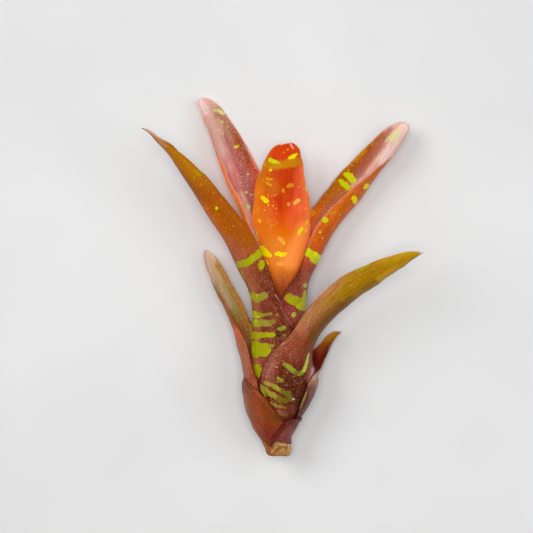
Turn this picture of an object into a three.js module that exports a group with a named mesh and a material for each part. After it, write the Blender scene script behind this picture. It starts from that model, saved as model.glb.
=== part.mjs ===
// A cut shoot of a banded neoregelia, lying on its back.
// Nine strap leaves clasp one short stem. Each leaf is one curved sheet: its sheath wraps
// the stem as part of a tube, and its blade leaves the tube as an open channel.
// Millimetres. Y runs from the cut end of the stem to the leaf tips, X is to the right of
// someone looking at the shoot's face, and Z points up, away from the surface it lies on.

import * as THREE from "three";

// The driving dimensions.
const AXIS_HEIGHT = 18; // from the surface to the middle of the leaf tube
const REST_ALONG = 37; // from the cut end to the middle of the flat it rests on
const REST_ACROSS = 0.4; // the tube's middle there
const REST_LAYER = 1; // the layer of the tube that lies on the surface
const LAYER_GAP = 0.3; // air between two sheaths
const BLADE_THICK = 0.85; // the free part of a leaf
const TIP_THICK = 0.75;
const BRACT_TIP = 6; // a bract thins to its tip over this length
const THINNING_SHARE = 0.25; // a blade thins from its sheath over this share of its length
const MARGIN_SHARE = 0.8; // how thick a leaf's edge is, against its middle
const MARGIN_POWER = 4; // the higher, the nearer to the edge the leaf starts to thin
const COLUMNS = 12; // facets across a leaf
const SHEATH_STEP = 3.3; // between rows of facets along a sheath
const MM_PER_DEGREE = 0.3; // of bearing, on the unrolled tube
const BLADE_STEPS = 2; // rows of facets from one blade station to the next

// The leaf tube: the distance along the plant, and the value there.
const TUBE_MIDDLE = [[0, -0.4], [4, -0.8], [7, -1.9], [10, -2.9], [18, -2.9], [20, -2.35],
  [24, -1.6], [28, -0.9], [32, -0.3], [36, 0.2], [40, 0.7], [44, 0.8], [50, 0.6], [58, 0.3],
  [90, 0.2]];
const TUBE_RADIUS = [[4, 6.6], [7, 7.9], [10, 9.2], [14, 11.7], [18, 13.5], [20, 14.9], [22, 16.1],
  [26, 17.8], [30, 19.1], [34, 20.1], [38, 20.5], [42, 20.5], [48, 19.2], [53, 18.3], [60, 17.8],
  [68, 17.9], [76, 18.5], [82, 19.3], [90, 20]];
const LAYER_PITCH = [[5, 1.35], [28, 1.35], [48, 1.1], [90, 1.1]];

// The smooth curve through a table of [place, value] pairs.
function along(table, place) {
  const last = table.length - 1;
  if (place <= table[0][0]) return table[0][1];
  if (place >= table[last][0]) return table[last][1];
  const i = table.findIndex(([p]) => p > place) - 1;
  const slope = (k) => {
    const low = Math.max(k - 1, 0);
    const high = Math.min(k + 1, last);
    return (table[high][1] - table[low][1]) / (table[high][0] - table[low][0]);
  };
  const [p0, v0] = table[i];
  const [p1, v1] = table[i + 1];
  const span = p1 - p0;
  const t = (place - p0) / span;
  return v0 * (1 + 2 * t) * (1 - t) ** 2 + slope(i) * span * t * (1 - t) ** 2
    + v1 * t * t * (3 - 2 * t) + slope(i + 1) * span * t * t * (t - 1);
}

const layerRadius = (y, layer) => along(TUBE_RADIUS, y) - layer * along(LAYER_PITCH, y);

// The point of the tube at a bearing: 0 faces up, 90 is to the right and -90 to the left.
function onTube(y, bearing, radius) {
  const a = THREE.MathUtils.degToRad(bearing);
  return new THREE.Vector3(along(TUBE_MIDDLE, y) + radius * Math.sin(a), y, radius * Math.cos(a));
}

// How thick a leaf is at v, which runs from -1 at its left margin to 1 at its right one.
const thickAt = (middle, v) => middle * THREE.MathUtils.lerp(1, MARGIN_SHARE, v ** MARGIN_POWER);

// A margin along the tube, from its [distance, bearing] points.
const marginCurve = (points) => new THREE.CatmullRomCurve3(
  points.map(([y, bearing]) => new THREE.Vector3(bearing * MM_PER_DEGREE, y, 0)), false, "centripetal");

// The sheath, as rows of outer and inner points. A row runs straight from margin to margin on
// the unrolled tube, and the foot's own edge evens out over the first few rows.
function sheathRows(leaf) {
  const margins = [marginCurve(leaf.sheathLeft), marginCurve(leaf.sheathRight)];
  const [base, top] = [leaf.sheathLeft[0][0], leaf.sheathLeft.at(-1)[0]];
  const steps = Math.round(margins[leaf.longMargin ?? 1].getLength() / SHEATH_STEP);
  const rows = [];
  for (let i = 0; i <= steps; i++) {
    const [left, right] = margins.map((margin) => margin.getPointAt(i / steps));
    const row = [];
    for (let j = 0; j <= COLUMNS; j++) {
      const here = left.clone().lerp(right, j / COLUMNS);
      const bearing = here.x / MM_PER_DEGREE;
      const foot = leaf.foot ? along(leaf.foot, bearing) - base : 0;
      const y = here.y + foot * (1 - i / steps) ** 2;
      const radius = layerRadius(y, leaf.layer) + (leaf.swell ? along(leaf.swell, y) : 0);
      const nearTip = leaf.blade ? 0 : THREE.MathUtils.smoothstep(y, top - BRACT_TIP, top);
      const middle = THREE.MathUtils.lerp(along(LAYER_PITCH, y) - LAYER_GAP, TIP_THICK, nearTip);
      const thick = thickAt(middle, (2 * j) / COLUMNS - 1);
      row.push([onTube(y, bearing, radius), onTube(y, bearing, radius - thick)]);
    }
    rows.push(row);
  }
  return rows;
}

// The stations of a free blade: its two margins, and how deep the channel is between them.
function bladeRows(leaf, sheath) {
  const before = sheath.slice(-2).map((row) => (
    { left: row[0][0], middle: row[COLUMNS / 2][0], right: row[COLUMNS][0] }));
  const sheathThick = along(LAYER_PITCH, before[1].left.y) - LAYER_GAP;
  const margins = leaf.blade.map(([left, right]) => [left, right].map((p) => new THREE.Vector3(...p)));
  const centres = [
    ...before.map((row) => row.left.clone().lerp(row.right, 0.5)),
    ...margins.map(([left, right]) => left.clone().lerp(right, 0.5)),
  ];
  const stations = margins.map(([left, right], i) => {
    const here = centres[i + 2];
    const next = centres[Math.min(i + 3, centres.length - 1)];
    const path = next.clone().sub(centres[i + 1]).normalize();
    const outward = right.clone().sub(left).cross(path).normalize();
    return { left, right, middle: here.clone().addScaledVector(outward, leaf.blade[i][2]) };
  });
  const points = [...before, ...stations];
  const rail = (side) => new THREE.CatmullRomCurve3(points.map((row) => row[side]), false, "centripetal");
  const rails = { left: rail("left"), middle: rail("middle"), right: rail("right") };
  const spans = points.length - 1;
  const rows = [];
  for (let i = BLADE_STEPS + 1; i <= spans * BLADE_STEPS; i++) {
    const t = i / (spans * BLADE_STEPS);
    const free = (i - BLADE_STEPS) / ((spans - 1) * BLADE_STEPS);
    const thinned = Math.min(1, free / THINNING_SHARE);
    const start = THREE.MathUtils.lerp(sheathThick, BLADE_THICK, thinned);
    rows.push(crossing({
      left: rails.left.getPoint(t),
      middle: rails.middle.getPoint(t),
      right: rails.right.getPoint(t),
      thick: THREE.MathUtils.lerp(start, TIP_THICK, free),
    }));
  }
  return rows;
}

// One crossing of a blade: a round arc from margin to margin, as pairs of an outer and an
// inner point.
function crossing(row) {
  const half = row.right.clone().sub(row.left).multiplyScalar(0.5);
  const rise = row.middle.clone().sub(row.left).sub(half);
  const reach = 2 * Math.atan2(rise.length(), half.length());
  const side = half.clone().normalize();
  const out = rise.clone().normalize();
  const pairs = [];
  for (let j = 0; j <= COLUMNS; j++) {
    const v = (2 * j) / COLUMNS - 1;
    const turn = reach * v;
    const outer = row.middle.clone()
      .addScaledVector(half, Math.sin(turn) / Math.sin(reach))
      .addScaledVector(rise, -(1 - Math.cos(turn)) / (1 - Math.cos(reach)));
    const thick = thickAt(row.thick, v);
    const inner = outer.clone()
      .addScaledVector(side, -Math.sin(turn) * thick)
      .addScaledVector(out, -Math.cos(turn) * thick);
    pairs.push([outer, inner]);
  }
  return pairs;
}

// The shoot's weight presses the tube's back flat, and every layer in it moves up alike.
function flattenTube(point) {
  const radius = layerRadius(point.y, REST_LAYER);
  const across = point.x - along(TUBE_MIDDLE, point.y);
  if (point.z >= 0 || Math.abs(across) >= radius) return;
  const excess = Math.sqrt(radius * radius - across * across) - AXIS_HEIGHT;
  if (excess > 0) point.z -= (excess * point.z) / (AXIS_HEIGHT + excess);
}

// Whatever would still reach through the surface lies on it.
function restOnSurface(outer, inner) {
  const lift = Math.max(0, -AXIS_HEIGHT - Math.min(outer.z, inner.z));
  outer.z += lift;
  inner.z += lift;
}

// The closed sheet between the outer and the inner face, both split into triangles alike.
function sheetGeometry(rows) {
  const columns = rows[0].length;
  const positions = [];
  rows.forEach((pairs) => pairs.forEach(([outer, inner]) => {
    flattenTube(outer);
    flattenTube(inner);
    restOnSurface(outer, inner);
    positions.push(...outer.toArray(), ...inner.toArray());
  }));
  const outer = (i, j) => 2 * (i * columns + j);
  const inner = (i, j) => outer(i, j) + 1;
  const index = [];
  const quad = (a, b, c, d) => index.push(a, b, c, a, c, d);
  const top = rows.length - 1;
  const edge = columns - 1;
  for (let i = 0; i < top; i++) {
    for (let j = 0; j < edge; j++) {
      quad(outer(i, j), outer(i, j + 1), outer(i + 1, j + 1), outer(i + 1, j));
      index.push(inner(i, j), inner(i + 1, j + 1), inner(i, j + 1));
      index.push(inner(i, j), inner(i + 1, j), inner(i + 1, j + 1));
    }
    quad(outer(i, 0), outer(i + 1, 0), inner(i + 1, 0), inner(i, 0));
    quad(outer(i, edge), inner(i, edge), inner(i + 1, edge), outer(i + 1, edge));
  }
  for (let j = 0; j < edge; j++) {
    quad(outer(0, j), inner(0, j), inner(0, j + 1), outer(0, j + 1));
    quad(outer(top, j), outer(top, j + 1), inner(top, j + 1), inner(top, j));
  }
  const geometry = new THREE.BufferGeometry();
  geometry.setAttribute("position", new THREE.Float32BufferAttribute(positions, 3));
  geometry.setIndex(index);
  geometry.computeVertexNormals();
  return geometry;
}

function leafMesh(leaf) {
  const sheath = sheathRows(leaf);
  const rows = leaf.blade ? [...sheath, ...bladeRows(leaf, sheath)] : sheath;
  const material = new THREE.MeshStandardMaterial({
    color: leaf.colour, roughness: 0.45, metalness: 0, side: THREE.DoubleSide,
  });
  const mesh = new THREE.Mesh(sheetGeometry(rows), material);
  mesh.name = leaf.name;
  return mesh;
}

// The leaves, from the outermost to the innermost. sheathLeft and sheathRight are the margins
// along the tube, as [distance, bearing]. foot is the lower edge, as [bearing, distance]. A
// blade station is its left margin, its right margin and its depth. Left and right are as seen
// from outside with the tip up.
const LEAVES = [
  {
    name: "bract_right", layer: 0, colour: "#6e3038",
    sheathLeft: [[5.4, -32], [7.5, -12], [10.5, 7], [13.6, 16], [16.6, 24], [17.9, 35], [18.6, 50],
      [18.7, 82], [19.8, 115], [22.5, 143]],
    sheathRight: [[5.4, 200], [14, 198], [19, 180], [22.5, 147]],
    foot: [[-32, 5.2], [0, 7.7], [45, 7], [90, 5.8], [140, 6.6], [200, 9]],
    longMargin: 0,
    swell: [[14, 0], [18, 0.15], [25, 0.15]],
  },
  {
    name: "bract_left", layer: 1, colour: "#8a3d20",
    sheathLeft: [[5.4, -163], [15, -163], [25, -158], [32, -142], [37, -115], [40, -88]],
    sheathRight: [[5.4, 60], [13, 50], [16.5, 27], [19.1, 13], [22.7, -2], [26.2, -12], [29.2, -20],
      [30.7, -27], [33.1, -36], [35.5, -51], [37.3, -63], [40, -84]],
    foot: [[-163, 9.8], [-90, 10], [-60, 8.2], [-28, 5.4], [-10, 7.2], [8, 8.2], [60, 7.2]],
  },
  {
    name: "leaf_right_low", layer: 1, colour: "#8a4a22",
    sheathLeft: [[13, 68], [20.3, 60], [22.4, 54], [27.5, 48], [38.5, 48], [41.5, 47]],
    sheathRight: [[13, 190], [38, 190], [41.5, 178]],
    blade: [
      [[19.8, 42.2, 1.5], [9, 47.2, -15.8], 5.6],
      [[21.1, 45.4, -1], [12.5, 49.4, -15], 5],
      [[22.8, 49.5, -4], [16.2, 52, -14], 3.9],
      [[25.2, 54.5, -6.5], [20.6, 55.8, -13.4], 2.8],
      [[28, 58.3, -8.2], [24, 60, -12.6], 1.8],
      [[30, 60.5, -9.2], [27.6, 62, -11.8], 1],
      [[31.2, 61.6, -10], [30.9, 62, -10.3], 0.15],
    ],
  },
  {
    name: "leaf_left_low", layer: 2, colour: "#a2603a",
    sheathLeft: [[13, -168], [38, -166], [47, -160]],
    sheathRight: [[13, 0], [25, -22], [30.6, -28], [32.6, -36], [39.5, -43], [45.9, -50], [47, -52]],
    swell: [[38, 0], [39.5, 0.1], [41, 0.65], [42.5, 1.3], [44.5, 1.9], [47, 2]],
    blade: [
      [[-8.5, 55.5, -14.5], [-15.6, 54.5, 7.2], 9],
      [[-14.2, 66, -11.6], [-20.2, 64, 3.6], 6.4],
      [[-18.4, 76, -10], [-25.9, 72.5, 0.6], 4.8],
      [[-23.2, 84.5, -9.8], [-30.6, 80, -1.6], 3.5],
      [[-27.6, 92.6, -10], [-34.6, 88.5, -3.6], 2.6],
      [[-31.6, 98.8, -10.3], [-36.9, 95.5, -6], 1.6],
      [[-35, 102, -10.4], [-37.9, 100.2, -8.2], 0.8],
      [[-37.3, 103.2, -10.4], [-37.6, 103, -10.1], 0.15],
    ],
  },
  {
    name: "leaf_right_front", layer: 3, colour: "#a5603a",
    sheathLeft: [[15.2, -20], [25, -28], [30.6, -30], [33.5, -37], [37, -39], [40.5, -39], [45, -35],
      [48.9, -26], [51.2, -22], [53.2, -14], [55.5, -4]],
    sheathRight: [[15.2, 150], [40, 145], [50.5, 122]],
    blade: [
      [[5.2, 60.5, 13.9], [14.5, 54.6, -4.2], 7.6],
      [[9.8, 68.2, 14.4], [17.8, 61.2, -0.8], 7.2],
      [[15.7, 76.4, 15.3], [23.7, 67.4, 2.6], 6.8],
      [[29, 88.9, 18], [37.2, 78.4, 8.4], 6],
      [[44.4, 96.5, 22.2], [48.9, 86.2, 14.6], 4.4],
      [[56.2, 100.7, 26], [59.2, 93.5, 20.8], 2.7],
      [[63.5, 102.3, 28.2], [65.4, 98, 25.4], 1.3],
      [[70.4, 102, 30.3], [70.6, 101.6, 30], 0.15],
    ],
  },
  {
    name: "leaf_left_tall", layer: 4, colour: "#a8602a",
    sheathLeft: [[18, -168], [60, -168], [78, -165]],
    sheathRight: [[18, 50], [50, 42], [63.2, 33], [65, 32], [68.7, 23], [71.7, 14], [74.7, 6], [78, -1]],
    blade: [
      [[-6, 88, -12], [-2.8, 86, 14], 11.8],
      [[-11, 99, -9], [-7.3, 97.5, 12.6], 12.7],
      [[-18, 114.5, -5.5], [-14.7, 113, 11.6], 12.9],
      [[-27.5, 126.5, -2.5], [-24.7, 125.5, 12], 11.6],
      [[-37.5, 138.2, 1.5], [-34.7, 137.7, 13.4], 9.4],
      [[-47, 147.8, 6], [-44.7, 147.5, 14.8], 6.6],
      [[-53.1, 154.9, 9.5], [-52.4, 153.2, 15.8], 4.4],
      [[-59.5, 158.7, 12.5], [-59.5, 157, 16.2], 2.1],
      [[-64.3, 162.2, 14.8], [-64.6, 161, 16.3], 0.9],
      [[-68.2, 163.4, 15.9], [-68.4, 163.1, 16.1], 0.15],
    ],
  },
  {
    name: "leaf_right_tall", layer: 5, colour: "#b3562c",
    sheathLeft: [[20.5, -30], [60, -20], [70, -10], [78.9, 1], [82, 9]],
    sheathRight: [[20.5, 195], [60, 195], [82, 190]],
    blade: [
      [[8.2, 90, 10.8], [2.5, 93, -13.6], 10.3],
      [[12.7, 100.5, 8.2], [7, 105, -14.2], 11.2],
      [[17.7, 113.5, 6], [11.8, 117.5, -14.4], 12.7],
      [[25.2, 123, 4.2], [19, 127, -15], 12],
      [[36.2, 133.5, 2], [28.6, 139.5, -16.4], 11.8],
      [[45.2, 140.7, 1], [36.3, 147.7, -16], 8.8],
      [[55.2, 149, 0.2], [46, 157.3, -14], 5.2],
      [[61.4, 157, -1.6], [53.4, 164, -10.8], 2.7],
      [[64.3, 162.5, -3.6], [58.8, 166.8, -8], 1.3],
      [[64.8, 166, -5.4], [63, 167.3, -6.2], 0.3],
    ],
  },
  {
    name: "leaf_back_left", layer: 6, colour: "#b86a5c",
    sheathLeft: [[23, -215], [84, -212]],
    sheathRight: [[23, -20], [84, -30]],
    blade: [
      [[3.4, 100, -11.6], [-9.8, 97, 8.2], 7.8],
      [[1.5, 113, -13.5], [-12.6, 108, 7], 8.6],
      [[-3.6, 129.4, -15.2], [-18.4, 124, 4.4], 9.2],
      [[-10, 142.5, -16.6], [-25.4, 138.5, 1], 9],
      [[-16.7, 156, -17.6], [-31.2, 152.5, -2.8], 7.2],
      [[-23.8, 167.4, -18], [-36.6, 165, -7.2], 4.2],
      [[-30, 175.4, -16.6], [-40.2, 172.7, -10.2], 2.2],
      [[-34.8, 179.2, -15], [-41.6, 177, -11.8], 1],
      [[-38.6, 180, -13.6], [-40.4, 179.5, -13], 0.2],
    ],
  },
  {
    name: "leaf_centre", layer: 7, colour: "#e0641e",
    sheathLeft: [[25.5, -110], [60, -90], [78, -76]],
    sheathRight: [[25.5, 110], [60, 90], [78, 76]],
    blade: [
      [[-9.6, 92, 2.2], [11.2, 92, 1.8], 9.2],
      [[-10.4, 105, 2], [14, 105, 1.8], 9.4],
      [[-13.4, 119.5, 2], [15.6, 118.5, 2], 9.4],
      [[-12.5, 131, 2.4], [14.3, 131, 2.4], 8.6],
      [[-10.2, 141, 3], [12.2, 141, 3], 7],
      [[-6.6, 149, 3.8], [11, 149.5, 3.8], 5],
      [[-3.6, 153.4, 4.6], [10.1, 153.2, 4.6], 3.2],
      [[-0.8, 155.6, 5.2], [7.6, 155.9, 5.2], 1.8],
      [[2.2, 156.4, 5.8], [5.4, 156.6, 5.8], 0.7],
    ],
  },
];

// The short woody stem: the cut end of the runner, with a ragged collar round the lowest
// leaves, and above it the cone that all the leaf bases clasp.
const STEM_PROFILE = [[0, 0], [5.2, 0], [6, 0.7], [6.8, 3.6], [7.1, 5.6], [6.9, 6], [4.4, 6.1],
  [4.9, 7.4], [5.6, 8.6], [6.3, 10], [6.8, 12], [6.9, 16], [6.9, 24], [6.5, 26], [5.5, 28.5],
  [3.5, 31], [0, 32]];
const COLLAR_RIM = 6; // the height in the profile that the collar's own edge replaces
const COLLAR_EDGE = [[-180, 8.6], [-120, 9.3], [-90, 9.2], [-60, 7.2], [-30, 4.7], [-10, 6.2],
  [8, 7.2], [35, 6.6], [60, 5.9], [90, 5.2], [140, 6], [180, 8.6]];
const COLLAR_BLEND = 12; // the height where the stem no longer follows the collar's edge
const STEM_SIDES = 32;

function stemMesh() {
  const profile = STEM_PROFILE.map(([radius, y]) => new THREE.Vector2(radius, y));
  const geometry = new THREE.LatheGeometry(profile, STEM_SIDES);
  const place = geometry.attributes.position;
  for (let i = 0; i < place.count; i++) {
    const [x, y, z] = [place.getX(i), place.getY(i), place.getZ(i)];
    const bearing = THREE.MathUtils.radToDeg(Math.atan2(x, z));
    const lift = along(COLLAR_EDGE, bearing) - COLLAR_RIM;
    const above = THREE.MathUtils.smoothstep(COLLAR_BLEND - y, 0, COLLAR_BLEND - COLLAR_RIM);
    const share = y <= COLLAR_RIM ? y / COLLAR_RIM : above;
    const lifted = y + lift * share;
    place.setXYZ(i, x + along(TUBE_MIDDLE, lifted), lifted, z);
  }
  const material = new THREE.MeshStandardMaterial({ color: "#b98a4e", roughness: 0.8, metalness: 0 });
  const mesh = new THREE.Mesh(geometry, material);
  mesh.name = "stem";
  return mesh;
}

const shoot = new THREE.Group();
shoot.position.set(-REST_ACROSS, -REST_ALONG, AXIS_HEIGHT);
shoot.add(stemMesh(), ...LEAVES.map(leafMesh));

export default shoot;
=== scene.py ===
# %% [markdown]
# # A cut shoot of a banded neoregelia
# The shoot lies on its back on a pale table: nine strap leaves that clasp one short woody stem.
# Each leaf is one curved sheet. Low down it wraps the stem as part of a tube, and higher up it
# leaves the tube as an open channel. The lesson builds each leaf from a flat grid, gives it its
# thickness, paints it in broad soft strokes, and lets the shader draw what is fine: veins,
# pale scales, and the crisp yellow bands.
#
# The frame comes first. It holds the plain solids of all the pieces, at their real size, and
# every finished piece takes the place of one of them.

# %% Load the frame
import math

import bpy
import numpy as np
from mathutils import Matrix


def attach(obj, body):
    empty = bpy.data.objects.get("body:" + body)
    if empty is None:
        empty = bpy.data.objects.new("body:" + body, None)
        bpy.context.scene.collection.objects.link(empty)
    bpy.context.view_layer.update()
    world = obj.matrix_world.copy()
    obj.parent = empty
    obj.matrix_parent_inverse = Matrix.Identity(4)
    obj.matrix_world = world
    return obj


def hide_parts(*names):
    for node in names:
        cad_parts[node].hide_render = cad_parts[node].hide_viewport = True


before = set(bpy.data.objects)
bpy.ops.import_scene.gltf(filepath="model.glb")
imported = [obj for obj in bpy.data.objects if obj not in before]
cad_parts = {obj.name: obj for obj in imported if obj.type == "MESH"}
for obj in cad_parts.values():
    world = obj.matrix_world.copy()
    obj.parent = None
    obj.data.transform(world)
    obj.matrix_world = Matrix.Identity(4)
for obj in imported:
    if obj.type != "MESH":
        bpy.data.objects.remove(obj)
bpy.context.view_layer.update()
print("plain solids:", sorted(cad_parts))

# %% [markdown]
# Sizes are in millimetres here, in the plant's own frame: X to the right, Y from the cut end to
# the tips, and Z up, with the middle of the leaf tube as the axis. The table's frame has its
# origin where the tube rests, so one shift and one scale turn the first into the second.

# %% Units and driving sizes
MM = 0.001  # metres
AXIS_HEIGHT = 18.0  # the tube's middle above the table
REST_ALONG = 37.0  # from the cut end to where the tube rests
REST_ACROSS = 0.4  # how far that place is to the right of the frame's X = 0
REST_LAYER = 1  # the layer of the tube that lies on the table
LAYER_GAP = 0.3  # air between two sheaths
SHEATH_STEP = 3.3  # between two rows of a plain solid, along the tube
MM_PER_DEGREE = 0.3  # of bearing, on the unrolled tube

# (Y, value) pairs: the tube's middle in X, its outer radius, and the step from layer to layer.
TUBE_MIDDLE = [[0, -0.4], [4, -0.8], [7, -1.9], [10, -2.9], [18, -2.9], [20, -2.35],
               [24, -1.6], [28, -0.9], [32, -0.3], [36, 0.2], [40, 0.7], [44, 0.8], [50, 0.6],
               [58, 0.3], [90, 0.2]]
TUBE_RADIUS = [[4, 6.6], [7, 7.9], [10, 9.2], [14, 11.7], [18, 13.5], [20, 14.9], [22, 16.1],
               [26, 17.8], [30, 19.1], [34, 20.1], [38, 20.5], [42, 20.5], [48, 19.2],
               [53, 18.3], [60, 17.8], [68, 17.9], [76, 18.5], [82, 19.3], [90, 20]]
LAYER_PITCH = [[5, 1.35], [28, 1.35], [48, 1.1], [90, 1.1]]


def to_table(points):
    """Turns millimetres in the plant's frame into metres on the table."""
    return (np.asarray(points, float) + [-REST_ACROSS, -REST_ALONG, AXIS_HEIGHT]) * MM


print("the tube is", 2 * max(r for _, r in TUBE_RADIUS), "mm across at its widest")

# %% [markdown]
# Three small helpers carry all the curves. `soft_step` eases from 0 to 1. `along` reads a table
# of (place, value) pairs as one smooth line. `rail` runs a curve through points in space, with
# the centripetal spacing that keeps it from looping where points lie close together.


# %% Curve helpers
CURVE_STEPS = 801  # for measuring a curve's length


def soft_step(value, low, high):
    t = np.clip((np.asarray(value, float) - low) / (high - low), 0, 1)
    return t * t * (3 - 2 * t)


def hermite(v0, v1, m0, m1, t):
    return (v0 * (1 + 2 * t) * (1 - t) ** 2 + m0 * t * (1 - t) ** 2
            + v1 * t * t * (3 - 2 * t) + m1 * t * t * (t - 1))


def along(table, place):
    at, value = np.array(table, float).T
    low = np.maximum(np.arange(len(at)) - 1, 0)
    high = np.minimum(np.arange(len(at)) + 1, len(at) - 1)
    slope = (value[high] - value[low]) / (at[high] - at[low])
    place = np.clip(place, at[0], at[-1])
    i = np.clip(np.searchsorted(at, place, side="right") - 1, 0, len(at) - 2)
    span = at[i + 1] - at[i]
    return hermite(value[i], value[i + 1], slope[i] * span, slope[i + 1] * span,
                   (place - at[i]) / span)


def rail(points, t):
    p = np.array(points, float)
    p = np.vstack([2 * p[0] - p[1], p, 2 * p[-1] - p[-2]])
    spans = len(p) - 3
    place = np.clip(np.atleast_1d(t) * spans, 0, spans)
    i = np.minimum(place.astype(int), spans - 1)
    p0, p1, p2, p3 = p[i], p[i + 1], p[i + 2], p[i + 3]
    d0, d1, d2 = (np.sqrt(np.linalg.norm(b - a, axis=1))[:, None]
                  for a, b in ((p0, p1), (p1, p2), (p2, p3)))
    m1 = ((p1 - p0) / d0 - (p2 - p0) / (d0 + d1) + (p2 - p1) / d1) * d1
    m2 = ((p2 - p1) / d1 - (p3 - p1) / (d1 + d2) + (p3 - p2) / d2) * d1
    return hermite(p1, p2, m1, m2, (place - i)[:, None])


def run_length(points):
    """The distance along a row of points, from its first one, at each of them."""
    return np.concatenate([[0], np.cumsum(np.linalg.norm(np.diff(points, axis=0), axis=1))])


def evenly(points, t):
    """The curve at t, a share of its own length, and that length."""
    fine = np.linspace(0, 1, CURVE_STEPS)
    run = run_length(rail(points, fine))
    return rail(points, np.interp(np.asarray(t) * run[-1], run, fine)), run[-1]


print("tube radius at 38 mm:", round(float(along(TUBE_RADIUS, 38)), 2), "mm")

# %% [markdown]
# ## The leaves' forms
# Each leaf has the layer of the tube that it lies in, counted from the outside, and its two
# margins along the tube as (distance, bearing), where bearing 0 faces the viewer and 90 the
# right. A blade goes on from there in stations: left margin, right margin and how deep the
# channel is between them. Sculpting a plane by eye would drift from the solids. These are the
# solids' own numbers, so each leaf keeps its solid's place. Only `left_flank` is new: there the
# long left leaf swells by up to 0.9 mm and fills the room beside the low left leaf.

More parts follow.
